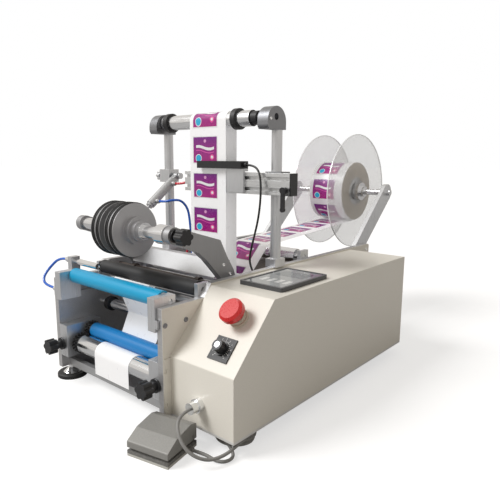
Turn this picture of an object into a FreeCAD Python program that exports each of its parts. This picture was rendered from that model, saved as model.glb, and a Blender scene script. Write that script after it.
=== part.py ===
import FreeCAD, Part
import math
import os
import Sketcher

# Bottle labelling machine, real size in millimetres, +Z up.
# Working axes: x = 0 midway between the side plates, y = 0 at the front of the
# control box, z = 0 on the table.  The front of the machine faces -Y.

Vector = FreeCAD.Vector
document = FreeCAD.newDocument("LabellingMachine")
sheet = document.addObject("Spreadsheet::Sheet", "Sizes")
sheet.set("A1", "size")
sheet.set("B1", "mm or degrees")
sheet.set("C1", "what it sets")


class Size:
    """A dimension that carries its sheet expression and its value."""

    def __init__(self, text, value):
        self.text = text
        self.value = float(value)

    def joined(self, sign, other, value):
        return Size("(%s %s %s)" % (self.text, sign, other.text), value)

    def __add__(self, other):
        other = as_size(other)
        return self.joined("+", other, self.value + other.value)

    def __sub__(self, other):
        other = as_size(other)
        return self.joined("-", other, self.value - other.value)

    def __mul__(self, other):
        other = as_size(other)
        return self.joined("*", other, self.value * other.value)

    def __truediv__(self, other):
        other = as_size(other)
        return self.joined("/", other, self.value / other.value)

    def __radd__(self, other):
        return as_size(other) + self

    def __rsub__(self, other):
        return as_size(other) - self

    def __rmul__(self, other):
        return as_size(other) * self

    def __neg__(self):
        return Size("(0 - %s)" % self.text, -self.value)


def as_size(amount):
    if isinstance(amount, Size):
        return amount
    return Size("(%.10g)" % amount, amount)


def sine(angle):
    return Size("sin(%s)" % angle.text, math.sin(math.radians(angle.value)))


def cosine(angle):
    return Size("cos(%s)" % angle.text, math.cos(math.radians(angle.value)))


def angle_of(rise, run):
    text = "atan2(%s; %s)" % (rise.text, run.text)
    return Size(text, math.degrees(math.atan2(rise.value, run.value)))


def arc_sine(ratio):
    return Size("asin(%s)" % ratio.text, math.degrees(math.asin(ratio.value)))


sheet_row = [2]


def size(alias, value, note):
    """Write one driving dimension in the sheet and return it."""
    row = sheet_row[0]
    sheet_row[0] = row + 1
    sheet.set("A%d" % row, alias)
    sheet.set("B%d" % row, "%.10g" % value)
    sheet.set("C%d" % row, note)
    sheet.setAlias("B%d" % row, alias)
    return Size("Sizes.%s" % alias, value)


# ---------------------------------------------------------------- sizes
gap = size("body_gap", 0.3, "air between pieces that move against each other")
fit = size("shaft_fit", 0.05, "radial clearance of a shaft in its bore")

plate_out = size("plate_outer_half", 158, "middle to the outer face of a side plate")
plate_thick = size("plate_thickness", 12, "side plate thickness")
plate_front = size("plate_front", -14, "front edge of the side plates")
plate_rear = size("plate_rear", 645, "rear edge of the side plates")
plate_low = size("plate_underside", 24, "underside of the side plates above the table")
plate_step = size("plate_step_height", 201, "height of the low front part of the plates")
plate_top = size("plate_top", 222, "height of the plates")
step_end = size("plate_step_end", 75, "where the low front part ends")
step_rise = size("plate_step_run", 17, "depth of the slope behind the low front part")

deck_top = size("deck_top", 150, "top of the deck plate between the side plates")
deck_thick = size("deck_thickness", 3, "deck plate thickness")
deck_front = size("deck_front", 250, "front edge of the deck plate")
base_thick = size("base_plate_thickness", 3, "base plate thickness")

box_wide = size("control_box_width", 133, "width of the control box")
box_deep = size("control_box_depth", 553, "depth of the control box")
box_top = size("control_box_top", 219, "top of the control box")
box_nose = size("control_box_nose", 123, "top of the upright front face of the box")
box_slope = size("control_box_slope_run", 91, "depth of the sloping face")
box_wall = size("control_box_sheet", 2, "sheet thickness of the control box")

foot_x = size("foot_side", 152, "middle to a foot")
foot_front = size("foot_front", 10, "front feet from the box front")
foot_rear = size("foot_rear", 600, "rear feet from the box front")
pad_radius = size("foot_pad_radius", 28, "radius of a foot pad")
pad_high = size("foot_pad_height", 8, "height of a foot pad")
stud_radius = size("foot_stud_radius", 4, "radius of the foot stud")

post_x = size("post_side", 152, "middle to a round post")
post_y = size("post_depth", 272, "round posts from the box front")
post_radius = size("post_radius", 10, "radius of a round post")
top_y = size("top_roller_depth", 254, "top roller axis from the box front")
top_z = size("top_roller_height", 500, "top roller axis height")
top_radius = size("top_roller_radius", 15, "radius of the top roller")
top_journal = size("top_journal_radius", 6, "radius of the top roller journals")
block_half = size("top_block_half", 12, "half thickness of a top block")
block_round = size("top_block_round", 27, "radius of the rounded top of a top block")
block_drop = size("top_block_drop", 22, "top block below the top roller axis")
post_short = size("post_top_drop", 10, "posts end below the top roller axis")
block_air = size("top_block_air", 2, "air between the top roller and a top block")

web_left = size("web_left", -46, "left edge of the label web")
web_right = size("web_right", 54, "right edge of the label web")
web_thick = size("web_thickness", 0.3, "thickness of the label web")

bed_y = size("front_roller_depth", 14, "front support roller axis")
bed_z = size("front_roller_height", 205, "front support roller axis height")
bed_radius = size("front_roller_radius", 14, "radius of the front support roller")
bed_half = size("front_roller_half", 128, "half length of the front support roller")
black_y = size("rear_roller_depth", 84, "rear support roller axis")
black_z = size("rear_roller_height", 211, "rear support roller axis height")
black_radius = size("rear_roller_radius", 13, "radius of the rear support roller")

pull_y = size("traction_depth", 14, "traction roller axis")
pull_z = size("traction_height", 73, "traction roller axis height")
pull_radius = size("traction_radius", 18, "radius of the traction roller")
pull_journal = size("traction_journal", 5, "radius of the traction and nip journals")
nip_radius = size("nip_radius", 14, "radius of the nip roller")
nip_gap = size("nip_opening", 1.2, "opening between the traction and nip rollers")
nip_angle = size("nip_direction", 43.8, "direction from traction roller to nip roller")
inner_y = size("inner_roller_depth", 84, "inner guide roller axis")
inner_z = size("inner_roller_height", 137, "inner guide roller axis height")
inner_radius = size("inner_roller_radius", 10, "radius of the inner guide roller")
nose_y = size("peel_nose_depth", 46, "centre of the peel nose")
nose_z = size("peel_nose_height", 208, "height of the peel nose")
nose_radius = size("peel_nose_radius", 1.3, "radius of the peel nose")
bar_y = size("web_bar_depth", 228.4, "fixed web bar axis")
bar_z = size("web_bar_height", 150, "fixed web bar height")
bar_radius = size("web_bar_radius", 10, "radius of the fixed web bar")
rear_y = size("rear_guide_depth", 284.6, "rear guide roller axis")
rear_z = size("rear_guide_height", 174, "rear guide roller height")
rear_radius = size("rear_guide_radius", 15, "radius of the rear guide roller")
low_y = size("low_guide_depth", 380, "low guide roller axis")
low_z = size("low_guide_height", 224, "low guide roller height")
low_radius = size("low_guide_radius", 15, "radius of the low guide roller")
reel_y = size("reel_depth", 760, "label reel axis")
reel_z = size("reel_height", 342, "label reel height")
reel_radius = size("reel_disc_radius", 152, "radius of the clear reel discs")
roll_radius = size("label_roll_radius", 78, "radius of the label roll")
core_radius = size("reel_core_radius", 38, "radius of the reel hub in the roll")

pivot_y = size("arm_pivot_depth", 170, "press arm pivot axis")
pivot_z = size("arm_pivot_height", 199, "press arm pivot height")
pivot_radius = size("arm_pivot_radius", 8, "radius of the pivot shaft")
press_y = size("press_shaft_depth", 37, "press shaft axis")
press_z = size("press_shaft_height", 304, "press shaft height")
press_radius = size("press_shaft_radius", 10.5, "radius of the press shaft")
wheel_radius = size("press_wheel_radius", 46, "radius of the press wheel discs")
ring_radius = size("press_ring_radius", 2.2, "radius of the rubber rings")
arm_in = size("arm_inner_half", 118, "middle to the inner face of a press arm")
arm_thick = size("arm_thickness", 14, "press arm thickness")
arm_round = size("arm_end_radius", 14, "radius of the rounded arm ends")

anchor_y = size("cylinder_anchor_depth", 271, "upper pin of the air cylinder")
anchor_z = size("cylinder_anchor_height", 388, "height of the upper pin")
rodpin_y = size("cylinder_rod_pin_depth", 143, "lower pin of the air cylinder")
rodpin_z = size("cylinder_rod_pin_height", 288, "height of the lower pin")
barrel_radius = size("cylinder_radius", 9.5, "radius of the air cylinder")

rail_z = size("sensor_rail_height", 380, "middle height of the sensor rail")
rail_front = size("sensor_rail_front", 241, "front face of the sensor rail")
rail_left = size("sensor_rail_left", -66, "left end of the sensor rail")
rail_right = size("sensor_rail_right", 205, "right end of the sensor rail")

pedal_x = size("pedal_side", 193, "middle of the foot pedal")
pedal_y = size("pedal_depth", -47.75, "middle of the foot pedal")
pedal_wide = size("pedal_width", 73, "width of the foot pedal")
pedal_long = size("pedal_length", 70, "length of the foot pedal")
pedal_turn = size("pedal_turn", 12, "turn of the foot pedal on the floor")

knob_left_end = size("clamp_knob_end", -186, "outer end of the cylinder clamp knob")
hose_left = size("hose_loop_end", -227.2, "left end of the air hose loop")

# ---------------------------------------------------------- derived sizes
plate_in = plate_out - plate_thick
box_right = plate_out + box_wide
post_top = top_z - post_short
top_half = post_x - block_half - block_air
pull_shaft_end = plate_out + 30
slope_angle = angle_of(box_top - box_nose, box_slope)
slope_up = (box_top - box_nose) / box_slope
nip_y = pull_y + (pull_radius + nip_radius + nip_gap) * cosine(nip_angle)
nip_z = pull_z + (pull_radius + nip_radius + nip_gap) * sine(nip_angle)
pedal_front = pedal_wide / 2 * sine(pedal_turn) + pedal_long / 2 * cosine(pedal_turn)
origin_x = (box_right + hose_left) / 2
origin_y = (reel_y + reel_radius + pedal_y - pedal_front) / 2

subparts = []
made = [0]


def new(kind, name):
    made[0] = made[0] + 1
    return document.addObject(kind, "%s_%03d" % (name, made[0]))


def bind(item, prop, amount):
    item.setExpression(prop, as_size(amount).text)


def move_to(item, x, y, z):
    bind(item, "Placement.Base.x", x)
    bind(item, "Placement.Base.y", y)
    bind(item, "Placement.Base.z", z)


def box(x0, x1, y0, y1, z0, z1):
    """Block between two corners."""
    item = new("Part::Box", "Block")
    bind(item, "Length", as_size(x1) - x0)
    bind(item, "Width", as_size(y1) - y0)
    bind(item, "Height", as_size(z1) - z0)
    move_to(item, x0, y0, z0)
    return item


def rod_x(x0, x1, y, z, radius):
    """Round bar along X."""
    item = new("Part::Cylinder", "Round")
    item.Placement = FreeCAD.Placement(Vector(), FreeCAD.Rotation(Vector(0, 1, 0), 90))
    bind(item, "Radius", radius)
    bind(item, "Height", as_size(x1) - x0)
    move_to(item, x0, y, z)
    return item


def rod_y(y0, y1, x, z, radius):
    """Round bar along Y."""
    item = new("Part::Cylinder", "Round")
    item.Placement = FreeCAD.Placement(Vector(), FreeCAD.Rotation(Vector(1, 0, 0), -90))
    bind(item, "Radius", radius)
    bind(item, "Height", as_size(y1) - y0)
    move_to(item, x, y0, z)
    return item


def rod_z(z0, z1, x, y, radius):
    """Round bar along Z."""
    item = new("Part::Cylinder", "Round")
    bind(item, "Radius", radius)
    bind(item, "Height", as_size(z1) - z0)
    move_to(item, x, y, z0)
    return item


def cone_z(z0, z1, x, y, radius0, radius1):
    """Cone along Z."""
    item = new("Part::Cone", "Cone")
    bind(item, "Radius1", radius0)
    bind(item, "Radius2", radius1)
    bind(item, "Height", as_size(z1) - z0)
    move_to(item, x, y, z0)
    return item


def tilted_hole(x, y, z, down, up, radius, angle):
    """Round bar leaning by an angle about X, through a point."""
    item = new("Part::Cylinder", "Leaning")
    turn = FreeCAD.Rotation(Vector(1, 0, 0), angle.value)
    item.Placement = FreeCAD.Placement(Vector(), turn)
    bind(item, "Radius", radius)
    bind(item, "Height", as_size(down) + up)
    bind(item, "Placement.Rotation.Angle", angle)
    move_to(item, x, y + sine(angle) * down, z - cosine(angle) * down)
    return item


def fuse(items):
    item = new("Part::MultiFuse", "Joined")
    item.Shapes = items
    item.Refine = True
    return item


def cut(base, tools):
    tool = tools[0]
    if len(tools) > 1:
        tool = new("Part::MultiFuse", "Tools")
        tool.Shapes = tools
    item = new("Part::Cut", "Shaped")
    item.Base = base
    item.Tool = tool
    item.Refine = True
    return item


def group(items):
    item = new("Part::Compound", "Set")
    item.Links = items
    return item


def draw(body, plane_role, points):
    """Closed outline on a base plane, each corner tied to the sheet."""
    sketch = body.newObject("Sketcher::SketchObject", "Outline%03d" % made[0])
    plane = [face for face in body.Origin.OriginFeatures if face.Role == plane_role][0]
    sketch.AttachmentSupport = [(plane, "")]
    sketch.MapMode = "FlatFace"
    corners = [(as_size(a), as_size(b)) for a, b in points]
    count = len(corners)
    for i in range(count):
        here = corners[i]
        there = corners[(i + 1) % count]
        start = Vector(here[0].value, here[1].value, 0)
        end = Vector(there[0].value, there[1].value, 0)
        sketch.addGeometry(Part.LineSegment(start, end), False)
    for i in range(count):
        sketch.addConstraint(Sketcher.Constraint("Coincident", i, 2, (i + 1) % count, 1))
    for i in range(count):
        for kind, amount in (("DistanceX", corners[i][0]), ("DistanceY", corners[i][1])):
            number = sketch.addConstraint(Sketcher.Constraint(kind, -1, 1, i, 1, amount.value))
            sketch.setExpression("Constraints[%d]" % number, amount.text)
    return sketch


def round_corners(body, pad, corners, along, rounds):
    """Fillet the long edges of a pad that stand on the chosen outline corners."""
    document.recompute()
    by_radius = {}
    for index, radius in rounds:
        radius = as_size(radius)
        target = (as_size(corners[index][0]).value, as_size(corners[index][1]).value)
        for number, edge in enumerate(pad.Shape.Edges, 1):
            first = edge.Vertexes[0].Point
            last = edge.Vertexes[-1].Point
            seen = [(p.y, p.z) if along == "x" else (p.x, p.y) for p in (first, last)]
            misses = [abs(s[0] - target[0]) + abs(s[1] - target[1]) for s in seen]
            if max(misses) < 0.001:
                by_radius.setdefault(radius.text, (radius, []))[1].append("Edge%d" % number)
    last = pad
    edges_of_pad = [(radius, names) for radius, names in by_radius.values()]
    if len(edges_of_pad) == 1:
        radius, names = edges_of_pad[0]
        last = body.newObject("PartDesign::Fillet", "Rounds%03d" % made[0])
        last.Base = (pad, names)
        last.setExpression("Radius", radius.text)
    return last


def profile_x(points, x0, x1, rounds=()):
    """Plate cut to an outline of (y, z) corners, from x0 to x1."""
    body = new("PartDesign::Body", "Plate")
    sketch = draw(body, "YZ_Plane", points)
    pad = body.newObject("PartDesign::Pad", "Thick%03d" % made[0])
    pad.Profile = sketch
    pad.setExpression("Length", (as_size(x1) - x0).text)
    if rounds:
        round_corners(body, pad, points, "x", rounds)
    bind(body, "Placement.Base.x", x0)
    return body


def profile_z(points, z0, z1, rounds=()):
    """Plate cut to an outline of (x, y) corners, from z0 to z1."""
    body = new("PartDesign::Body", "Plate")
    sketch = draw(body, "XY_Plane", points)
    pad = body.newObject("PartDesign::Pad", "Thick%03d" % made[0])
    pad.Profile = sketch
    pad.setExpression("Length", (as_size(z1) - z0).text)
    if rounds:
        round_corners(body, pad, points, "z", rounds)
    bind(body, "Placement.Base.z", z0)
    return body


def solid(name, shape):
    """A computed shape where no primitive fits."""
    item = new("Part::Feature", name)
    item.Shape = shape
    return item


def subpart(label, items, at=(0, 0, 0), axis=None, angle=0):
    """Name one node and set its placement in the machine."""
    if isinstance(items, list):
        item = group(items)
    elif items.TypeId in ("Part::MultiFuse", "Part::Cut", "Part::Compound"):
        item = items
    else:
        item = group([items])
    item.Label = label
    if axis is not None:
        angle = as_size(angle)
        item.Placement = FreeCAD.Placement(Vector(), FreeCAD.Rotation(axis, angle.value))
        bind(item, "Placement.Rotation.Angle", angle)
    move_to(item, as_size(at[0]) - origin_x, as_size(at[1]) - origin_y, at[2])
    subparts.append(item)
    return item


def both_sides(maker):
    """Left and right copies: maker gets the side, -1 or 1."""
    return [maker(-1), maker(1)]


def span(side, near, far):
    """Ordered pair of x values for a piece between two distances from the middle."""
    if side > 0:
        return as_size(near), as_size(far)
    return -as_size(far), -as_size(near)


# ---------------------------------------------------------------- frame
groove_low = size("slide_groove_low", 168, "underside of the slide groove in a side plate")
groove_high = size("slide_groove_high", 182, "top of the slide groove in a side plate")
groove_end = size("slide_groove_end", 66, "rear end of the slide groove")
groove_deep = size("slide_groove_depth", 6, "depth of the slide groove")
sheet_end = size("sheet_end_inset", 5, "deck and base plates end before the plate rear edge")
deck_lip_drop = size("deck_lip_drop", 18, "height of the folded front edge of the deck")
bar_front = size("front_bar_depth", 2, "front face of the front cross bar")
bar_deep = size("front_bar_thickness", 10, "thickness of the front cross bar")
bar_high = size("front_bar_height", 15, "top of the front cross bar above the plates' underside")


def side_plate(side):
    x0, x1 = span(side, plate_in, plate_out)
    outline = [
        (plate_front, plate_low),
        (plate_rear, plate_low),
        (plate_rear, plate_top),
        (step_end + step_rise, plate_top),
        (step_end, plate_step),
        (plate_front, plate_step),
    ]
    blank = profile_x(outline, x0, x1, [(1, 6), (2, 6)])
    reach0 = x0 - 1
    reach1 = x1 + 1
    g0, g1 = span(side, plate_in - 1, plate_in + groove_deep)
    tools = [
        rod_x(reach0, reach1, pivot_y, pivot_z, pivot_radius + fit),
        rod_x(reach0, reach1, inner_y, inner_z, 4 + fit),
        rod_x(reach0, reach1, rear_y, rear_z, 5 + fit),
        rod_x(reach0, reach1, pull_y, pull_z, pull_journal + gap * 2),
        box(g0, g1, plate_front - 1, groove_end, groove_low, groove_high),
    ]
    for y in (foot_front, foot_rear):
        tools.append(rod_z(plate_low - 1, plate_low + 14, foot_x * side, y, stud_radius))
    return cut(blank, tools)


subpart("side_plate_left", side_plate(-1))
subpart("side_plate_right", side_plate(1))

sheet_rear = plate_rear - sheet_end
bar_rear = bar_front + bar_deep
front_bar = box(-plate_in, plate_in, bar_front, bar_rear, plate_low + base_thick, plate_low + bar_high)
floor_sheet = box(-plate_in, plate_in, bar_front, sheet_rear, plate_low, plate_low + base_thick)
subpart("base_plate", fuse([floor_sheet, front_bar]))

deck_under = deck_top - deck_thick
deck_sheet = box(-plate_in, plate_in, deck_front, sheet_rear, deck_under, deck_top)
lip_rear = deck_front + deck_thick
deck_lip = box(-plate_in, plate_in, deck_front, lip_rear, deck_top - deck_lip_drop, deck_top)
subpart("deck_plate", fuse([deck_sheet, deck_lip]))


def foot(side, y):
    x = foot_x * side
    pad = rod_z(0, pad_high - 2, x, y, pad_radius)
    rim = cone_z(pad_high - 2, pad_high, x, y, pad_radius, pad_radius - 2)
    return fuse([pad, rim])


def stud(side, y):
    x = foot_x * side
    skirt = cone_z(pad_high, pad_high + 9, x, y, 17, 7)
    neck = rod_z(pad_high + 9, plate_low, x, y, 6.5)
    thread = rod_z(pad_high + 9, plate_low + 13, x, y, stud_radius)
    return fuse([skirt, neck, thread])


feet = [(-1, foot_front), (1, foot_front), (-1, foot_rear), (1, foot_rear)]
subpart("foot_pads", [foot(side, y) for side, y in feet])
subpart("foot_studs", [stud(side, y) for side, y in feet])

# ---------------------------------------------------------- control box
estop_x = size("estop_side", 247, "emergency stop, from the middle")
estop_y = size("estop_depth", 61, "emergency stop on the slope")
estop_z = box_nose + slope_up * estop_y
dial_y = size("dial_depth", 24.8, "speed dial on the slope")
dial_z = box_nose + slope_up * dial_y
gland_x = size("gland_side", 222, "cable gland, from the middle")
gland_z = size("gland_height", 64, "cable gland height")
barrel_r = 11
spindle_r = 3

outer_outline = [
    (0, plate_low),
    (box_deep, plate_low),
    (box_deep, box_top),
    (box_slope, box_top),
    (0, box_nose),
]
slope_inset = box_wall / cosine(slope_angle)
inner_outline = [
    (box_wall, plate_low + box_wall),
    (box_deep - box_wall, plate_low + box_wall),
    (box_deep - box_wall, box_top - box_wall),
    (box_slope + (slope_inset - box_wall) / slope_up, box_top - box_wall),
    (box_wall, box_nose + slope_up * box_wall - slope_inset),
]
outer_box = profile_x(outer_outline, plate_out, box_right, [(2, 3), (3, 3), (4, 3)])
inner_box = profile_x(inner_outline, plate_out - 1, box_right - box_wall)
flange = box(plate_out, plate_out + 1.5, plate_front + 1, 1, plate_low + 2, box_nose - 2)
shell = cut(outer_box, [inner_box])
shell_tools = [
    tilted_hole(estop_x, estop_y, estop_z, 20, 20, barrel_r, slope_angle),
    tilted_hole(estop_x, dial_y, dial_z, 20, 20, spindle_r + 1, slope_angle),
    rod_y(-5, 5, gland_x, gland_z, 7),
    box(plate_out - 1, plate_out + 3, plate_front, -8, 98, 104),
    box(plate_out - 1, plate_out + 3, plate_front, -8, 42, 48),
]
subpart("housing_cover", cut(fuse([shell, flange]), shell_tools))

panel_left = size("panel_left", 187, "left edge of the control panel")
panel_right = size("panel_right", 276, "right edge of the control panel")
panel_front = size("panel_front", 128, "front edge of the control panel")
panel_rear = size("panel_rear", 262, "rear edge of the control panel")
panel_corners = [
    (panel_left, panel_front),
    (panel_right, panel_front),
    (panel_right, panel_rear),
    (panel_left, panel_rear),
]
panel_block = profile_z(
    panel_corners, box_top, box_top + 7, [(0, 4), (1, 4), (2, 4), (3, 4)]
)
panel_recess = box(
    panel_left + 5, panel_right - 5, panel_front + 5, panel_rear - 5, box_top + 6.2, box_top + 9
)
subpart("control_panel", cut(panel_block, [panel_recess]))

SLOPE_AXIS = Vector(1, 0, 0)
estop_at = (estop_x, estop_y, estop_z)
collar = fuse(
    [
        rod_z(0, 4, 0, 0, 16),
        rod_z(4, 9, 0, 0, 13),
        rod_z(-22, 0, 0, 0, barrel_r),
    ]
)
collar = cut(collar, [rod_z(-23, 10, 0, 0, 8 + fit)])
subpart("estop_collar", collar, estop_at, SLOPE_AXIS, slope_angle)
plunger = fuse([rod_z(-16, 14, 0, 0, 8), rod_z(14, 25, 0, 0, 6)])
subpart("estop_plunger", plunger, estop_at, SLOPE_AXIS, slope_angle)
head = fuse(
    [
        cone_z(14 + gap, 19, 0, 0, 16, 20),
        rod_z(19, 27, 0, 0, 20),
        cone_z(27, 31, 0, 0, 20, 16),
    ]
)
head = cut(head, [rod_z(13, 25 + gap, 0, 0, 6 + fit)])
subpart("estop_head", head, estop_at, SLOPE_AXIS, slope_angle)

dial_half = 19
dial_at = (estop_x, dial_y, dial_z)
scale = box(-dial_half, dial_half, -dial_half, dial_half, 0, 2)
scale = cut(scale, [rod_z(-1, 3, 0, 0, spindle_r + fit)])
subpart("dial_plate", scale, dial_at, SLOPE_AXIS, slope_angle)
knob = fuse(
    [
        rod_z(2 + gap, 5, 0, 0, 11),
        cone_z(5, 17, 0, 0, 9.5, 8.5),
        rod_z(-9, 4, 0, 0, spindle_r),
    ]
)
flutes = []
for step in range(8):
    turn = math.radians(22.5 + 45 * step)
    flutes.append(rod_z(6, 18, 10.6 * math.cos(turn), 10.6 * math.sin(turn), 2.2))
subpart("speed_knob", cut(knob, flutes), dial_at, SLOPE_AXIS, slope_angle)

# the gear motor turns the traction roller through the right side plate
motor_face = plate_out + 2
motor_join = plate_out + 42
motor_end = plate_out + 112
motor_front = pull_y - 10.5
motor_gearbox = box(motor_face, motor_join, motor_front, pull_y + 60, pull_z - 32, pull_z + 32)
motor_can = rod_x(motor_join, motor_end, pull_y + 28, pull_z, 25)
motor_foot = box(plate_out, motor_face, motor_front, pull_y + 66, pull_z - 36, pull_z + 36)
motor = fuse([motor_gearbox, motor_can, motor_foot])
motor_bore = rod_x(plate_out - 1, pull_shaft_end + 2, pull_y, pull_z, pull_journal + fit)
motor = cut(motor, [motor_bore])
subpart("drive_motor", motor)

# ---------------------------------------------------------- line fittings
cable_radius = size("pedal_cable_radius", 2.5, "radius of the pedal cable")
tube_radius = size("air_tube_radius", 2.6, "radius of the air tubes")
wire_radius = size("sensor_cable_radius", 2, "radius of the sensor cable")
gland = fuse(
    [
        rod_y(-8, 0, gland_x, gland_z, 11),
        rod_y(-20, -8, gland_x, gland_z, 9),
        rod_y(0, 8, gland_x, gland_z, 7),
    ]
)
gland = cut(gland, [rod_y(-23, 10, gland_x, gland_z, cable_radius + fit)])
grommet_y = size("grommet_depth", 240, "sensor cable grommet on the right plate")
grommet_z = size("grommet_height", 204.5, "height of the sensor cable grommet")
grommet = fuse(
    [
        rod_x(plate_in - 3, plate_in, grommet_y, grommet_z, 7),
        rod_x(plate_in - 8, plate_in - 3, grommet_y, grommet_z, 4.5),
    ]
)
grommet = cut(grommet, [rod_x(plate_in - 9, plate_in + 1, grommet_y, grommet_z, wire_radius + fit)])
red_x = size("red_tube_fitting_side", -90, "red tube fitting on the deck")
blue_x = size("blue_tube_fitting_side", -70, "blue tube fitting on the deck")
fitting_y = size("tube_fitting_depth", 262, "tube fittings on the deck")


def deck_fitting(x):
    flange_part = rod_z(deck_top, deck_top + 6, x, fitting_y, 6)
    sleeve = rod_z(deck_top + 6, deck_top + 14, x, fitting_y, 5)
    bore = rod_z(deck_top + 3, deck_top + 16, x, fitting_y, tube_radius + fit)
    return cut(fuse([flange_part, sleeve]), [bore])


hose_y = size("hose_fitting_depth", -5, "air hose fitting on the left plate")
hose_z = size("hose_fitting_height", 176, "height of the air hose fitting")
hose_fitting = fuse(
    [
        rod_x(-plate_out - 6, -plate_out, hose_y, hose_z, 6),
        rod_x(-plate_out - 14, -plate_out - 6, hose_y, hose_z, 5),
    ]
)
hose_bore = rod_x(-plate_out - 16, -plate_out - 3, hose_y, hose_z, tube_radius + fit)
hose_fitting = cut(hose_fitting, [hose_bore])
subpart("line_fittings", [gland, grommet, deck_fitting(red_x), deck_fitting(blue_x), hose_fitting])

# --------------------------------------------------------------- gantry


def post(side):
    x = post_x * side
    foot_block = box(x - 12, x + 12, post_y - 15, post_y + 15, plate_top, plate_top + 16)
    return fuse([foot_block, rod_z(plate_top, post_top, x, post_y, post_radius)])


subpart("gantry_posts", both_sides(post))


def top_block(side):
    """Plate with a half-round top that joins the post to the roller journal."""
    x0, x1 = post_x * side - block_half, post_x * side + block_half
    middle = post_y + post_radius + 1 - block_round
    spring = top_z - block_round * 0.3
    low = top_z - block_drop
    outline = [
        (middle - block_round, low),
        (middle + block_round, low),
        (middle + block_round, spring),
        (middle - block_round, spring),
    ]
    lower = profile_x(outline, x0, x1, [(0, 8)])
    crown = rod_x(x0, x1, middle, spring, block_round)
    front, rear = middle - block_round - 1, middle + block_round + 1
    tools = [
        box(x0 - 1, x1 + 1, front, rear, spring - block_round - 1, low),
        rod_z(low - 1, post_top, post_x * side, post_y, post_radius),
        rod_x(x0 - 1, x1 + 1, top_y, top_z, top_journal + fit),
    ]
    return cut(fuse([lower, crown]), tools)


subpart("top_blocks", both_sides(top_block))

ring_left = size("top_ring_left", -126, "left face of the left ring on the top roller")
ring_right = size("top_ring_right", 67, "left face of the right ring on the top roller")
ring_wide = size("top_ring_width", 11, "width of the rings on the top roller")
ring_high = size("top_ring_height", 5, "rings above the surface of the top roller")
sleeve_end = size("top_sleeve_end", 110, "right end of the top roller sleeve")
end_ring = size("top_end_ring_drop", 2.2, "end ring below the surface of the top roller")
top_pieces = [
    rod_x(-top_half, sleeve_end, top_y, top_z, top_radius),
    rod_x(ring_left, ring_left + ring_wide, top_y, top_z, top_radius + ring_high),
    rod_x(ring_right, ring_right + ring_wide, top_y, top_z, top_radius + ring_high),
    rod_x(sleeve_end, sleeve_end + ring_wide + 4, top_y, top_z, top_radius - end_ring),
    rod_x(-top_half - 16, top_half + 16, top_y, top_z, top_journal),
]
subpart("top_roller", fuse(top_pieces))

# ------------------------------------------------------------ bottle bed
slide_front = size("slide_block_front", -18, "front of the sliding bearing blocks")
slide_rear = size("slide_block_rear", 20, "rear of the sliding bearing blocks")
slide_low = size("slide_block_low", 162, "underside of the sliding bearing blocks")
knob_x = size("front_knob_side", 140, "middle to a front star knob")
pull_block_in = size("bearing_block_inner", 122, "middle to the inner face of a drive bearing block")
pull_block_rear = size("bearing_block_rear", 60, "rear face of a drive bearing block")
pull_block_low = size("bearing_block_drop", 23, "drive bearing block below the traction axis")
pull_block_high = size("bearing_block_rise", 39, "drive bearing block above the traction axis")


def slide_block(side):
    x0, x1 = span(side, bed_half + 0.5, plate_in - gap)
    k0, k1 = span(side, plate_in - gap - 1, plate_in + groove_deep - gap * 2)
    block = box(x0, x1, slide_front, slide_rear + 4, slide_low, bed_z + 10)
    key = box(k0, k1, slide_front, slide_rear, groove_low + gap, groove_high - gap)
    bore = rod_x(x0 - 1, x1 + 1, bed_y, bed_z, 4 + fit)
    return cut(fuse([block, key]), [bore])


subpart("slide_blocks", both_sides(slide_block))

front_roller = fuse(
    [
        rod_x(-bed_half, bed_half, bed_y, bed_z, bed_radius),
        rod_x(-plate_in + 2, plate_in - 2, bed_y, bed_z, 4),
    ]
)
subpart("upper_roller", front_roller)
rear_roller = fuse(
    [
        rod_x(-plate_in + 9, plate_in - 9, black_y, black_z, black_radius),
        rod_x(-plate_in + 1, plate_in - 1, black_y, black_z, 4),
    ]
)
subpart("black_roller", rear_roller)


def pull_block(side):
    x0, x1 = span(side, pull_block_in, plate_in)
    low = pull_z - pull_block_low
    high = pull_z + pull_block_high
    block = box(x0, x1, plate_front, pull_block_rear, low, high)
    bores = [
        rod_x(x0 - 1, x1 + 1, pull_y, pull_z, pull_journal + fit),
        rod_x(x0 - 1, x1 + 1, nip_y, nip_z, pull_journal + fit),
        rod_y(plate_front - 1, pull_y - 10, knob_x * side, pull_z + 1, 4 + fit),
    ]
    return cut(block, bores)


def black_block(side):
    x0, x1 = span(side, plate_in - 8, plate_in)
    block = box(x0, x1, black_y - 12, black_y + 14, black_z - 22, black_z + 11)
    return cut(block, [rod_x(x0 - 1, x1 + 1, black_y, black_z, 4 + fit)])


def low_block(side):
    x0, x1 = span(side, plate_in - 8, plate_in)
    block = box(x0, x1, low_y - 14, low_y + 14, low_z - 40, low_z + 14)
    return cut(block, [rod_x(x0 - 1, x1 + 1, low_y, low_z, 5 + fit)])


blocks = []
for maker in (pull_block, black_block, low_block):
    blocks = blocks + both_sides(maker)
subpart("bearing_blocks", blocks)


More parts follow.
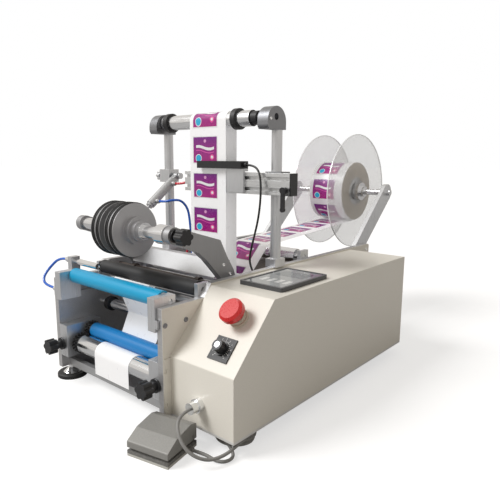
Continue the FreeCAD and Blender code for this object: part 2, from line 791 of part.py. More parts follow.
def gear(x0, x1, y, z, pitch, teeth, phase):
    """Spur gear about X with straight-sided teeth."""
    body = new("PartDesign::Body", "Gear")
    root = pitch - 2.2
    tip = pitch + 1.5
    tooth = draw(body, "YZ_Plane", [(root - 0.8, -1.8), (tip, -0.8), (tip, 0.8), (root - 0.8, 1.8)])
    pad = body.newObject("PartDesign::Pad", "Tooth%03d" % made[0])
    pad.Profile = tooth
    pad.setExpression("Length", (as_size(x1) - x0).text)
    ring = body.newObject("PartDesign::PolarPattern", "Teeth%03d" % made[0])
    ring.Originals = [pad]
    ring.Axis = ([line for line in body.Origin.OriginFeatures if line.Role == "X_Axis"][0], [""])
    ring.Angle = 360
    ring.Occurrences = teeth
    body.Tip = ring
    turn = FreeCAD.Rotation(Vector(1, 0, 0), as_size(phase).value)
    body.Placement = FreeCAD.Placement(Vector(), turn)
    bind(body, "Placement.Rotation.Angle", phase)
    move_to(body, x0, y, z)
    return body, rod_x(x0, x1, y, z, root)


gear_left = -121
gear_right = -111
drive_gear = gear(gear_left, gear_right, pull_y, pull_z, pull_radius, 18, nip_angle)
traction = [
    rod_x(-108, 121, pull_y, pull_z, pull_radius),
    rod_x(-plate_in + 1, pull_shaft_end, pull_y, pull_z, pull_journal),
    rod_x(gear_right - 1, -107, pull_y, pull_z, 9),
]
nip_gear = gear(gear_left, gear_right, nip_y, nip_z, nip_radius, 14, nip_angle + 180 + 360 / 28)
nip = [
    rod_x(-108, 119, nip_y, nip_z, nip_radius),
    rod_x(-plate_in + 1, plate_in - 1, nip_y, nip_z, pull_journal),
    rod_x(gear_right - 1, -107, nip_y, nip_z, 8),
]
subpart("traction_roller", fuse(traction + list(drive_gear)))
subpart("nip_roller", fuse(nip + list(nip_gear)))

inner = fuse(
    [
        rod_x(-112, 124, inner_y, inner_z, inner_radius),
        rod_x(-plate_out + 4, plate_out - 4, inner_y, inner_z, 4),
        rod_x(-124, -112, inner_y, inner_z, inner_radius + 4),
    ]
)
subpart("inner_guide_roller", inner)

rear_guide = fuse(
    [
        rod_x(-128, 128, rear_y, rear_z, rear_radius),
        rod_x(-plate_out + 2, plate_out - 2, rear_y, rear_z, 5),
    ]
)
subpart("rear_guide_roller", rear_guide)

low_guide = fuse(
    [
        rod_x(-128, 128, low_y, low_z, low_radius),
        rod_x(-plate_in + 1, plate_in - 1, low_y, low_z, 5),
        rod_x(web_left - 12, web_left - 3, low_y, low_z, low_radius + 5),
        rod_x(web_right + 3, web_right + 12, low_y, low_z, low_radius + 5),
    ]
)
subpart("low_guide_roller", low_guide)

# fixed bars between the side plates
dark_y = 128
dark_z = 207
bars = [
    rod_x(-plate_in, plate_in, bar_y, bar_z, bar_radius),
    fuse(
        [
            rod_x(-plate_in, plate_in, dark_y, dark_z, 6),
            rod_x(-100, -90, dark_y, dark_z, 9),
            rod_x(84, 94, dark_y, dark_z, 9),
        ]
    ),
]
subpart("guide_rods", bars)

# ------------------------------------------------------------- label web
web_shift = gap + web_thick / 2
web_circles = [
    (reel_y, reel_z, roll_radius, -1),
    (low_y, low_z, low_radius, 1),
    (rear_y, rear_z, rear_radius, -1),
    (top_y, top_z, top_radius, 1),
    (bar_y, bar_z, bar_radius, -1),
    (nose_y, nose_z, nose_radius, 1),
    (inner_y, inner_z, inner_radius, 1),
    (nip_y, nip_z, nip_radius, -1),
    (pull_y, pull_z, pull_radius, 1),
]
web_end_z = 36


def tangent(first, second):
    """Direction and end points of the straight web between two rollers."""
    y1, z1, r1, s1 = first
    y2, z2, r2, s2 = second
    reach = math.hypot(y2 - y1, z2 - z1)
    bearing = math.atan2(z2 - z1, y2 - y1)
    heading = bearing - math.asin((s2 * r2 - s1 * r1) / reach)
    side = (-math.sin(heading), math.cos(heading))
    start = (y1 - s1 * r1 * side[0], z1 - s1 * r1 * side[1])
    end = (y2 - s2 * r2 * side[0], z2 - s2 * r2 * side[1])
    return heading, start, end


def web_run(start, end, left, right, thick):
    """Flat stretch of web."""
    length = math.hypot(end[0] - start[0], end[1] - start[1])
    heading = math.degrees(math.atan2(end[1] - start[1], end[0] - start[0]))
    strip = Part.makeBox(right - left, length, thick, Vector(left, 0, -thick / 2))
    turn = FreeCAD.Rotation(Vector(1, 0, 0), heading)
    strip.Placement = FreeCAD.Placement(Vector(0, start[0], start[1]), turn).multiply(strip.Placement)
    return strip


def web_arc(circle, heading_in, heading_out, left, right, thick):
    """Web wrapped on a roller."""
    y, z, radius, sense = circle
    sweep = (sense * (heading_out - heading_in)) % (2 * math.pi)
    first = heading_in - sense * math.pi / 2
    if sense < 0:
        first = first - sweep
    wide = right - left
    turn = math.degrees(sweep)
    outer = Part.makeCylinder(radius + thick / 2, wide, Vector(), Vector(0, 0, 1), turn)
    core = Part.makeCylinder(radius - thick / 2, wide, Vector(), Vector(0, 0, 1), turn)
    sector = outer.cut(core)
    lay = FreeCAD.Rotation(Vector(1, 1, 1), 120)
    roll = FreeCAD.Rotation(Vector(1, 0, 0), math.degrees(first))
    sector.Placement = FreeCAD.Placement(Vector(left, y, z), roll.multiply(lay))
    return sector


def web_shapes():
    left = web_left.value
    right = web_right.value
    thick = web_thick.value
    circles = []
    for y, z, radius, sense in web_circles:
        circles.append((y.value, z.value, radius.value + web_shift.value, sense))
    shapes = []
    previous = None
    for i in range(len(circles) - 1):
        heading, start, end = tangent(circles[i], circles[i + 1])
        if previous is not None:
            shapes.append(web_arc(circles[i], previous, heading, left, right, thick))
        shapes.append(web_run(start, end, left, right, thick))
        previous = heading
    last = circles[-1]
    down = -math.pi / 2
    shapes.append(web_arc(last, previous, down, left, right, thick))
    hang = (last[0] - last[2], last[1])
    shapes.append(web_run(hang, (hang[0], web_end_z), left, right, thick))
    return shapes


subpart("label_web", [solid("Web", shape) for shape in web_shapes()])

# peel plate under the web, its slope follows the web from the bar to the nose
peel_rise = nose_z - bar_z
peel_run = bar_y - nose_y
peel_reach = peel_run / cosine(angle_of(peel_rise, peel_run))
peel_heading = angle_of(peel_rise, peel_run) + arc_sine(
    (bar_radius + nose_radius + web_shift * 2) / peel_reach
)
peel_thick = nose_radius * 2
peel_long = 150
peel_left = web_left - 14
peel_right = web_right + 16
peel_sheet = box(peel_left, peel_right, 0, peel_long, -nose_radius, nose_radius)
peel_tip = rod_x(peel_left, peel_right, 0, 0, nose_radius)
near_bar = rod_x(-plate_in, plate_in, 60, -nose_radius - 5.5, 6)
far_bar = rod_x(-plate_in, plate_in, 132, -nose_radius - 5.5, 6)
peel = fuse([peel_sheet, peel_tip, near_bar, far_bar])
subpart("peel_plate", peel, (0, nose_y, nose_z), Vector(-1, 0, 0), peel_heading)

# ------------------------------------------------------------ press arms
knee = [
    (pivot_y - 29, pivot_z + 87),
    (pivot_y - 11, pivot_z + 54),
    (pivot_y + 5, pivot_z + 30),
    (pivot_y + 14.5, pivot_z + 4),
    (pivot_y - 12, pivot_z - 9),
    (pivot_y - 27, pivot_z + 18),
    (pivot_y - 62, pivot_z + 55),
    (pivot_y - 81, pivot_z + 71),
]
pin_play = size("rod_pin_play", 3.2, "room round the cylinder rod pin in the left arm")
pin_radius = size("rod_pin_radius", 4, "radius of the cylinder rod pin")


def press_arm(side):
    x0, x1 = span(side, arm_in, arm_in + arm_thick)
    outline = [(press_y, press_z + arm_round)] + knee + [(press_y, press_z - arm_round)]
    pieces = [
        profile_x(outline, x0, x1),
        rod_x(x0, x1, press_y, press_z, arm_round),
        rod_x(x0, x1, pivot_y, pivot_z, 15),
    ]
    tools = [
        rod_x(x0 - 1, x1 + 1, press_y, press_z, press_radius),
        rod_x(x0 - 1, x1 + 1, pivot_y, pivot_z, pivot_radius),
    ]
    if side < 0:
        pieces.append(rod_x(x0, x1, rodpin_y, rodpin_z, pin_radius + pin_play + 5))
        tools.append(rod_x(x0 - 1, x1 + 1, rodpin_y, rodpin_z, pin_radius + pin_play))
    return cut(fuse(pieces), tools)


subpart("press_arms", both_sides(press_arm))

arm_out = arm_in + arm_thick
knob_bore = rod_x(arm_out - 18, arm_out + 1, press_y, press_z, 5 + fit)
press_shaft = fuse(
    [
        rod_x(-arm_out - 5, arm_out, press_y, press_z, press_radius),
        rod_x(96, arm_in, press_y, press_z, 16),
        rod_x(-40, -31 - gap, press_y, press_z, 15),
        rod_x(50 + gap, 59, press_y, press_z, 15),
    ]
)
pivot_shaft = rod_x(-plate_out, plate_out, pivot_y, pivot_z, pivot_radius)
pivot_end = rod_x(-arm_in, -arm_in + 8, pivot_y, pivot_z, 12)
pivot_other = rod_x(arm_in - 8, arm_in, pivot_y, pivot_z, 12)
pivot_set = fuse([pivot_shaft, pivot_end, pivot_other])
subpart("arm_shafts", [cut(press_shaft, [knob_bore]), pivot_set])

brace_outline = [
    (pivot_y - 31, pivot_z + 18),
    (pivot_y - 29, pivot_z + 16),
    (pivot_y - 4, pivot_z + 41),
    (pivot_y + 10, pivot_z + 41),
    (pivot_y + 10, pivot_z + 44),
    (pivot_y - 5, pivot_z + 44),
]
subpart("cross_brace", profile_x(brace_outline, -arm_in, arm_in))

band_places = [-25, -12, 14, 26]
band_half = ring_radius


def band(x, grow):
    """Rubber band round the wheel, or with grow the groove that it lies in."""
    seat = wheel_radius - ring_radius - grow
    outer = wheel_radius + ring_radius * 0.73
    blank = rod_x(x - band_half - grow, x + band_half + grow, press_y, press_z, outer)
    reach = band_half + grow + 1
    return cut(blank, [rod_x(x - reach, x + reach, press_y, press_z, seat)])


wheel = fuse(
    [
        rod_x(-31, -6, press_y, press_z, wheel_radius),
        rod_x(-6, 8, press_y, press_z, 24),
        rod_x(8, 32, press_y, press_z, wheel_radius),
        rod_x(32, 42, press_y, press_z, 24),
        rod_x(42, 50, press_y, press_z, 18),
    ]
)
grooves = [band(x, fit) for x in band_places]
wheel = cut(wheel, grooves + [rod_x(-40, 60, press_y, press_z, press_radius + fit)])
subpart("wheel_discs", wheel)
subpart("wheel_rings", [band(x, as_size(0)) for x in band_places])


def star(reach0, reach1, radius, lobes, along, a, b):
    """Lobed hand knob along X or Y."""
    bar = rod_x if along == "x" else rod_y
    pieces = [bar(reach0, reach1, a, b, radius * 0.78)]
    for number in range(lobes):
        turn = 2 * math.pi * number / lobes
        first = a + radius * 0.68 * math.cos(turn)
        second = b + radius * 0.68 * math.sin(turn)
        pieces.append(bar(reach0, reach1, first, second, radius * 0.32))
    return pieces


arm_knob = [
    rod_x(arm_out - 15, arm_out + 14, press_y, press_z, 5),
    rod_x(arm_out + gap, arm_out + 4, press_y, press_z, 11),
    rod_x(arm_out + 4, arm_out + 12, press_y, press_z, 7),
] + star(arm_out + 12, arm_out + 28, 14, 6, "x", press_y, press_z)
subpart("arm_knob", fuse(arm_knob))

# ------------------------------------------------------------ air cylinder
cyl_x = -(arm_in + arm_thick / 2)
drop_y = anchor_y - rodpin_y
drop_z = anchor_z - rodpin_z
cyl_angle = angle_of(drop_z, drop_y)
cyl_reach = drop_y / cosine(cyl_angle)
CYL_AXIS = Vector(1, 0, 0)
cyl_at = (cyl_x, anchor_y, anchor_z)

clamp_half = 14
clamp_low = anchor_z - clamp_half
clamp_high = anchor_z + clamp_half
clamp_front = post_y - clamp_half
clamp_rear = post_y + clamp_half
clamp = box(-post_x - 16, -post_x + 16, clamp_front, clamp_rear, clamp_low, clamp_high)
clamp = cut(clamp, [rod_z(clamp_low - 1, clamp_high + 1, -post_x, post_y, post_radius)])
clamp_pin = rod_x(-post_x + 10.5, cyl_x + 13, anchor_y, anchor_z, 4)
clamp_head = rod_x(cyl_x + 10, cyl_x + 13, anchor_y, anchor_z, 6.5)
clamp_screw = rod_x(knob_left_end + 5, -post_x - 16, post_y, anchor_z, 4)
clamp_grip = star(knob_left_end, knob_left_end + 10, 11, 6, "x", post_y, anchor_z)
subpart("cylinder_clamp", fuse([clamp, clamp_pin, clamp_head, clamp_screw] + clamp_grip))

# local frame of the cylinder: local -Y runs from the upper pin to the rod pin
port_far = 26
port_near = 84
barrel_end = 96
barrel = fuse(
    [
        rod_y(-barrel_end, -18, 0, 0, barrel_radius),
        rod_y(-22, -13, 0, 0, barrel_radius - 2),
        rod_y(-barrel_end - 5, -barrel_end, 0, 0, barrel_radius - 2),
        box(-6, 6, -16, 0, -6, 6),
        rod_x(-6, 6, 0, 0, 7),
        rod_x(0, 19, -port_far, 0, 4),
        rod_x(0, 19, -port_near, 0, 4),
        rod_x(11, 16, -port_far, 0, 5),
        rod_x(11, 16, -port_near, 0, 5),
    ]
)
barrel_tools = [
    rod_x(-8, 8, 0, 0, 4 + fit),
    rod_y(-barrel_end - 6, -28, 0, 0, 3 + fit),
    rod_x(14, 20, -port_far, 0, tube_radius + fit),
    rod_x(14, 20, -port_near, 0, tube_radius + fit),
]
subpart("cylinder_barrel", cut(barrel, barrel_tools), cyl_at, CYL_AXIS, cyl_angle)

cheek_in = arm_thick / 2 + gap
rod_end = fuse(
    [
        rod_y(-cyl_reach + 20, -72, 0, 0, 3),
        rod_y(-cyl_reach + 26, -cyl_reach + 33, 0, 0, 5),
        box(-cheek_in - 4, cheek_in + 4, -cyl_reach + 17, -cyl_reach + 26, -7, 7),
        box(-cheek_in - 4, -cheek_in, -cyl_reach, -cyl_reach + 18, -7, 7),
        box(cheek_in, cheek_in + 4, -cyl_reach, -cyl_reach + 18, -7, 7),
        rod_x(-cheek_in - 4, -cheek_in, -cyl_reach, 0, 9),
        rod_x(cheek_in, cheek_in + 4, -cyl_reach, 0, 9),
        rod_x(-cheek_in - 6, cheek_in + 6, -cyl_reach, 0, pin_radius),
    ]
)
subpart("cylinder_rod", rod_end, cyl_at, CYL_AXIS, cyl_angle)

# ------------------------------------------------------------ sensor rail
rail_deep = 20
rail_rear = rail_front + rail_deep
rail_low = rail_z - 20
rail_high = rail_z + 20
slot_tools = []
for z in (rail_z - 10, rail_z + 10):
    for face, inward in ((rail_front, 1), (rail_rear, -1)):
        if inward > 0:
            slot_tools.append(box(rail_left - 1, rail_right + 1, face - 1, face + 2, z - 3.1, z + 3.1))
            slot_tools.append(box(rail_left - 1, rail_right + 1, face + 2, face + 6, z - 5.4, z + 5.4))
        else:
            slot_tools.append(box(rail_left - 1, rail_right + 1, face - 2, face + 1, z - 3.1, z + 3.1))
            slot_tools.append(box(rail_left - 1, rail_right + 1, face - 6, face - 2, z - 5.4, z + 5.4))
for z0, z1 in ((rail_high - 2, rail_high + 1), (rail_low - 1, rail_low + 2)):
    middle = rail_front + rail_deep / 2
    slot_tools.append(box(rail_left - 1, rail_right + 1, middle - 3.1, middle + 3.1, z0, z1))
rail_bar = box(rail_left, rail_right, rail_front, rail_rear, rail_low, rail_high)
rail_cut = cut(rail_bar, slot_tools)
rail_cap = box(rail_right, rail_right + 3, rail_front, rail_rear, rail_low, rail_high)
subpart("sensor_rail", fuse([rail_cut, rail_cap]))

carriage = box(post_x - 18, post_x + 18, rail_rear, post_y + 18, rail_z - 22, rail_z + 22)
carriage = cut(carriage, [rod_z(rail_z - 23, rail_z + 23, post_x, post_y, post_radius + fit)])
subpart("rail_clamp", carriage)

lever_x = size("rail_lever_side", 196, "clamping lever on the sensor rail")
lever = fuse(
    [
        rod_y(rail_front - 10, rail_front - gap, lever_x, rail_z - 10, 6),
        box(lever_x - 3.5, lever_x + 3.5, rail_front - 10, rail_front - 5, rail_z - 44, rail_z - 10),
        rod_y(rail_front - 10, rail_front - 5, lever_x, rail_z - 44, 4.5),
        rod_y(rail_front - 1, rail_front + 1.6, lever_x, rail_z - 10, 2.6),
    ]
)
subpart("rail_lever", lever)

bracket_left = size("sensor_bracket_left", 58, "left edge of the sensor bracket")
bracket_right = size("sensor_bracket_right", 101, "right edge of the sensor bracket")
face_y = rail_front - gap
shelf_z = rail_high + 2
keys = []
for z in (rail_z - 10, rail_z + 10):
    keys.append(box(bracket_left + 4, bracket_right - 4, face_y - 1, rail_front + 1.7, z - 2.7, z + 2.7))
bracket = fuse(
    [
        box(bracket_left, bracket_right, face_y - 5, face_y, rail_z - 18, shelf_z + 5),
        box(bracket_left + 2, bracket_right, face_y - 5, rail_front + 9, shelf_z, shelf_z + 5),
    ]
    + keys
)
subpart("sensor_bracket", bracket)

fork_z = shelf_z + 5
fork_high = fork_z + 14
strand_y = top_y - top_radius - web_shift
body_left = bracket_left + 2
fork = fuse(
    [
        box(body_left, bracket_right, strand_y - 10.5, strand_y + 11.5, fork_z, fork_high),
        box(-16, body_left + 1, strand_y - 10.5, strand_y - 3.8, fork_z, fork_high),
        box(-16, body_left + 1, strand_y + 4.2, strand_y + 11.5, fork_z, fork_high),
        rod_x(bracket_right, bracket_right + 7, strand_y, fork_z + 7, 4.5),
    ]
)
fork = cut(fork, [rod_x(bracket_right + 2, bracket_right + 8, strand_y, fork_z + 7, wire_radius + fit)])
subpart("fork_sensor", fork)

# -------------------------------------------------------------- air nozzle
nozzle_y = size("nozzle_depth", 27, "air nozzle axis")
nozzle_z = size("nozzle_height", 228, "air nozzle height")
nozzle_block = box(-160, -147, nozzle_y - 9, nozzle_y + 9, plate_step, nozzle_z + 9)
nozzle_block = cut(nozzle_block, [rod_x(-161, -146, nozzle_y, nozzle_z, 4)])
subpart("nozzle_clamp", nozzle_block)
nozzle_tip = rod_x(-132, -70, nozzle_y, nozzle_z, 6)
nozzle_stem = rod_x(-180, -131, nozzle_y, nozzle_z, 4)
nozzle_nut = rod_x(-174, -166, nozzle_y, nozzle_z, 5.5)
nozzle = fuse([nozzle_tip, nozzle_stem, nozzle_nut])
nozzle_tools = [
    rod_x(-181, -173, nozzle_y, nozzle_z, tube_radius + fit),
    rod_x(-72, -69, nozzle_y, nozzle_z, 3),
]
subpart("air_nozzle", cut(nozzle, nozzle_tools))

# ------------------------------------------------------------ star knobs


def front_knob(side):
    x = knob_x * side
    z = pull_z + 1
    pieces = [
        rod_y(plate_front - 18, pull_y - 12, x, z, 4),
        rod_y(plate_front - 4, plate_front - gap, x, z, 11.5),
        rod_y(plate_front - 15, plate_front - 4, x, z, 7.5),
    ]
    pieces = pieces + star(plate_front - 31, plate_front - 15, 14.5, 6, "y", x, z)
    return fuse(pieces)


subpart("star_knob_left", front_knob(-1))
subpart("star_knob_right", front_knob(1))

# ------------------------------------------------------------------ reel


def reel_arm(side):
    x0, x1 = span(side, plate_in - 10, plate_in)
    outline = [
        (plate_rear - 49, plate_top - 40),
        (plate_rear - 9, plate_top - 40),
        (plate_rear - 5, plate_top - 16),
        (reel_y + 16, reel_z - 15),
        (reel_y - 15, reel_z + 16),
        (plate_rear - 49, plate_top - 4),
    ]
    pieces = [profile_x(outline, x0, x1), rod_x(x0, x1, reel_y, reel_z, 22)]
    return cut(fuse(pieces), [rod_x(x0 - 1, x1 + 1, reel_y, reel_z, pivot_radius + fit)])


subpart("reel_arms", both_sides(reel_arm))

disc_thick = size("reel_disc_thickness", 3, "thickness of a clear reel disc")
disc_air = 0.5
left_disc = web_left - disc_air - disc_thick
right_disc = web_right + disc_air
shaft = [
    rod_x(-plate_in - 6, plate_in + 8, reel_y, reel_z, pivot_radius),
    rod_x(left_disc + disc_thick, right_disc, reel_y, reel_z, core_radius),
    rod_x(left_disc - 14, left_disc, reel_y, reel_z, 24),
    rod_x(right_disc + disc_thick, right_disc + disc_thick + 14, reel_y, reel_z, 24),
    rod_x(right_disc + disc_thick + 14, right_disc + disc_thick + 24, reel_y, reel_z, 14),
]
subpart("reel_shaft", fuse(shaft))


def disc(x0):
    blank = rod_x(x0, x0 + disc_thick, reel_y, reel_z, reel_radius)
    return cut(blank, [rod_x(x0 - 1, x0 + disc_thick + 1, reel_y, reel_z, pivot_radius)])


subpart("reel_discs", [disc(left_disc), disc(right_disc)])
roll = rod_x(web_left, web_right, reel_y, reel_z, roll_radius)
roll_bore = rod_x(web_left - 1, web_right + 1, reel_y, reel_z, core_radius)
subpart("label_roll", cut(roll, [roll_bore]))

# ----------------------------------------------------------------- pedal
pedal_at = (pedal_x, pedal_y, 0)
half_w = pedal_wide / 2
half_l = pedal_long / 2
hinge_y = half_l - 9
hinge_z = 19
ear_out = half_w - 3 - gap
base_pieces = [
    box(-half_w, half_w, -half_l, half_l, 0, 9),
    box(-half_w + 4, half_w - 4, -half_l + 4, half_l - 4, 9, 14),
    box(-ear_out, -ear_out + 5, hinge_y - 6, hinge_y + 5, 9, 25),
    box(ear_out - 5, ear_out, hinge_y - 6, hinge_y + 5, 9, 25),
    rod_x(-half_w, -half_w + 8, hinge_y, hinge_z, 3),
    rod_x(half_w - 8, half_w, hinge_y, hinge_z, 3),
    rod_x(half_w, half_w + 7, 15, 5, 4.5),
]
pedal_base = cut(fuse(base_pieces), [rod_x(half_w + 2, half_w + 8, 15, 5, cable_radius + fit)])
subpart("pedal_base", pedal_base, pedal_at, Vector(0, 0, 1), pedal_turn)

hood_outline = [
    (-half_l, 13.5),
    (half_l, 13.5),
    (half_l, 37),
    (half_l - 14, 41),
    (-half_l + 22, 35),
    (-half_l, 23),
]
room_outline = [
    (-half_l + 3, 12),
    (half_l - 3, 12),
    (half_l - 3, 34.5),
    (half_l - 14, 37.8),
    (-half_l + 23, 32),
    (-half_l + 3, 21.5),
]
hood = profile_x(hood_outline, -half_w, half_w, [(2, 3), (3, 3), (4, 3), (5, 3)])
room = profile_x(room_outline, -half_w + 3, half_w - 3)
pin_hole = rod_x(-half_w - 1, half_w + 1, hinge_y, hinge_z, 3 + fit)
subpart("pedal_treadle", cut(hood, [room, pin_hole]), pedal_at, Vector(0, 0, 1), pedal_turn)

# ----------------------------------------------------------------- cords


def tube_through(points, radius):
    """Tube of straight runs joined by tangent arcs through hand-set points."""
    places = [Vector(*[as_size(value).value for value in point]) for point in points]
    edges = []
    start = places[0]
    for i in range(1, len(places) - 1):
        here = places[i]
        back = places[i - 1] - here
        ahead = places[i + 1] - here
        run = min(back.Length, ahead.Length)
        back.normalize()
        ahead.normalize()
        turn = math.pi - back.getAngle(ahead)
        bend = 0.45 * run / math.tan(turn / 2)
        reach = 0.45 * run
        enter = here + back * reach
        leave = here + ahead * reach
        inward = back + ahead
        inward.normalize()
        centre = here + inward * (bend / math.cos(turn / 2))
        toward = here - centre
        toward.normalize()
        edges.append(Part.LineSegment(start, enter).toShape())
        edges.append(Part.Arc(enter, centre + toward * bend, leave).toShape())
        print("bend radius", round(bend, 1), "turn", round(math.degrees(turn), 1))
        start = leave
    edges.append(Part.LineSegment(start, places[-1]).toShape())
    path = Part.Wire(edges)
    along = places[1] - places[0]
    mouth = Part.Wire([Part.makeCircle(radius.value, places[0], along)])
    tube = path.makePipeShell([mouth], True, False)
    if not tube.isValid():
        raise ValueError("tube is not a valid solid")
    return tube


# hand-set bends of the flexible lines, from the middle, the box front and the table
turn_cos = math.cos(math.radians(pedal_turn.value))
turn_sin = math.sin(math.radians(pedal_turn.value))


def on_pedal(across, back, up):
    """Point in the turned frame of the pedal."""
    x = pedal_x.value + across * turn_cos - back * turn_sin
    y = pedal_y.value + across * turn_sin + back * turn_cos
    return (x, y, up)


coil_x = size("coil_side", 248, "cable coil under the box")
coil_y = size("coil_depth", 52, "cable coil depth")
coil_radius = size("coil_radius", 27.5, "mid-turn radius of the cable coil")
first_stretch = [
    (gland_x, -12, gland_z),
    (gland_x, -38, gland_z),
    (gland_x + 12, -56, gland_z - 12),
    (gland_x + 34, -60, gland_z - 34),
    (gland_x + 54, -42, gland_z - 50),
    (coil_x + 38, -14, 13),
    (coil_x + 36, 18, 15.5),
    (coil_x + 35.2, coil_y, 16.9),
]
second_stretch = [
    on_pedal(half_w.value + 3, 15, 5),
    on_pedal(half_w.value + 26, 15, 5),
    (coil_x + 27, -4, 3),
    (coil_x + 35.2, 22, 2.8),
    (coil_x + 35.2, coil_y, 2.8),
]
subpart(
    "pedal_cable",
    [
        solid("Cable", tube_through(first_stretch, cable_radius)),
        solid("Cable", tube_through(second_stretch, cable_radius)),
    ],
)


def cable_coil(columns, rows):
    """Closed ring of the outer shape of the wound turns."""
    pitch = cable_radius * 1.92
    half = pitch * (columns - 1) / 2 + cable_radius
    high = pitch * (rows - 1) + cable_radius * 2
    blank = rod_z(0, high, 0, 0, coil_radius + half)
    return cut(blank, [rod_z(-1, high + 1, 0, 0, coil_radius - half)])


subpart("pedal_cable_coil", cable_coil(2, 4), (coil_x, coil_y, 0))

sensor_points = [
    (bracket_right + 4, strand_y, fork_z + 7),
    (bracket_right + 24, strand_y, fork_z + 7),
    (bracket_right + 42, strand_y - 4, fork_z - 7),
    (bracket_right + 48, strand_y - 8, fork_z - 42),
    (bracket_right + 43, strand_y - 8, fork_z - 88),
    (bracket_right + 28, strand_y - 5, fork_z - 132),
    (bracket_right + 15, grommet_y - 2, grommet_z + 38),
    (bracket_right + 16, grommet_y - 1, grommet_z + 18),
    (plate_in - 17, grommet_y, grommet_z),
    (plate_in - 3, grommet_y, grommet_z),
]
subpart("sensor_cable", [solid("Cable", tube_through(sensor_points, wire_radius))])


def on_barrel(along):
    """Middle of the cylinder at a distance below the upper pin."""
    y = anchor_y.value - along * math.cos(math.radians(cyl_angle.value))
    z = anchor_z.value - along * math.sin(math.radians(cyl_angle.value))
    return (y, z)


far_y, far_z = on_barrel(port_far)
near_y, near_z = on_barrel(port_near)
red_points = [
    (cyl_x + 14.5, far_y, far_z),
    (cyl_x + 34, far_y, far_z),
    (cyl_x + 52, far_y + 14, far_z + 6),
    (cyl_x + 70, far_y + 29, far_z + 9),
    (cyl_x + 88, far_y + 36, far_z - 4),
    (cyl_x + 96, far_y + 37, far_z - 30),
    (cyl_x + 88, far_y + 33, far_z - 62),
    (cyl_x + 66, far_y + 25, far_z - 90),
    (cyl_x + 47, far_y + 17, far_z - 118),
    (red_x - 1, fitting_y + 3, deck_top + 72),
    (red_x, fitting_y, deck_top + 38),
    (red_x, fitting_y, deck_top + 5),
]
subpart("red_tube", [solid("Tube", tube_through(red_points, tube_radius))])
blue_points = [
    (cyl_x + 16, near_y, near_z),
    (cyl_x + 36, near_y, near_z),
    (cyl_x + 50, near_y + 12, near_z + 4),
    (cyl_x + 54, near_y + 30, near_z + 2),
    (cyl_x + 54, near_y + 48, near_z - 16),
    (cyl_x + 53, fitting_y - 3, near_z - 46),
    (blue_x - 1, fitting_y + 1, near_z - 98),
    (blue_x, fitting_y, deck_top + 42),
    (blue_x, fitting_y, deck_top + 5),
]
subpart("blue_tube", [solid("Tube", tube_through(blue_points, tube_radius))])
hose_points = [
    (-176, nozzle_y, nozzle_z),
    (-206, nozzle_y, nozzle_z),
    (hose_left + 1.8, nozzle_y - 13, nozzle_z - 22),
    (hose_left + 3.8, nozzle_y - 28, nozzle_z - 38),
    (hose_left + 14.8, hose_y - 0.5, hose_z + 3),
    (-plate_out - 26, hose_y, hose_z),
    (-plate_out - 5, hose_y, hose_z),
]
subpart("nozzle_hose", [solid("Hose", tube_through(hose_points, tube_radius))])

# ---------------------------------------------------------------- output
document.recompute()
for item in document.Objects:
    if "Invalid" in item.State or "Error" in item.State:
        raise ValueError("%s (%s) did not build" % (item.Label, item.Name))
for item in subparts:
    if item.Shape.isNull() or not item.Shape.isValid() or not item.Shape.Solids:
        raise ValueError("%s has no valid solid" % item.Label)

os.makedirs("parts", exist_ok=True)
for item in subparts:
    item.Shape.exportStep("parts/%s.step" % item.Label)
print(len(subparts), "nodes written")
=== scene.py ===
"""Bottle labelling machine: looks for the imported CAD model. Metres, in the frame of the CAD."""
import math

import bpy
from mathutils import Matrix, Vector


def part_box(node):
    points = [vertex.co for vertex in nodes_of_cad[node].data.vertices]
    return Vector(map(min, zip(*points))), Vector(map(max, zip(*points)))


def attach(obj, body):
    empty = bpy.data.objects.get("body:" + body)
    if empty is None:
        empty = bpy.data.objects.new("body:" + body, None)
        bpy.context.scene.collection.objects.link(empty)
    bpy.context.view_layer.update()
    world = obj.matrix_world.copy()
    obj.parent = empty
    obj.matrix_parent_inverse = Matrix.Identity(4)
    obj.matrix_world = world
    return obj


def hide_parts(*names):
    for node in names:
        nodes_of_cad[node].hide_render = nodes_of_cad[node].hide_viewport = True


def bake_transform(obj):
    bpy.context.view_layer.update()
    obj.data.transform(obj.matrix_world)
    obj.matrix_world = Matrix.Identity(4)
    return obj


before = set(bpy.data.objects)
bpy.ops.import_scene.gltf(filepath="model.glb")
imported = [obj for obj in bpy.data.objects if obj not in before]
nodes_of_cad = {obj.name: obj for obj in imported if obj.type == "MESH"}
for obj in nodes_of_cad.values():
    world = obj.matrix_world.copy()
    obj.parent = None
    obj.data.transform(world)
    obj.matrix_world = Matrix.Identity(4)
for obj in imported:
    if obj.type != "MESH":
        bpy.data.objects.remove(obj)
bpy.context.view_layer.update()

MM = 0.001
PLATE_LOW = Vector(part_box("side_plate_left")[0])
ORIGIN = Vector((PLATE_LOW.x + 0.158, PLATE_LOW.y + 0.014, 0.0))
SLOPE_NORMAL = Vector((0.0, -0.725754, 0.687954)).normalized()
SLOPE_UP = SLOPE_NORMAL.cross(Vector((1.0, 0.0, 0.0)))


def place(x, y, z):
    """Point of the machine in millimetres, from the middle of its front, as a point of the frame."""
    return ORIGIN + Vector((x, y, z)) * MM


def centre_of(node):
    low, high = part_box(node)
    return (Vector(low) + Vector(high)) / 2


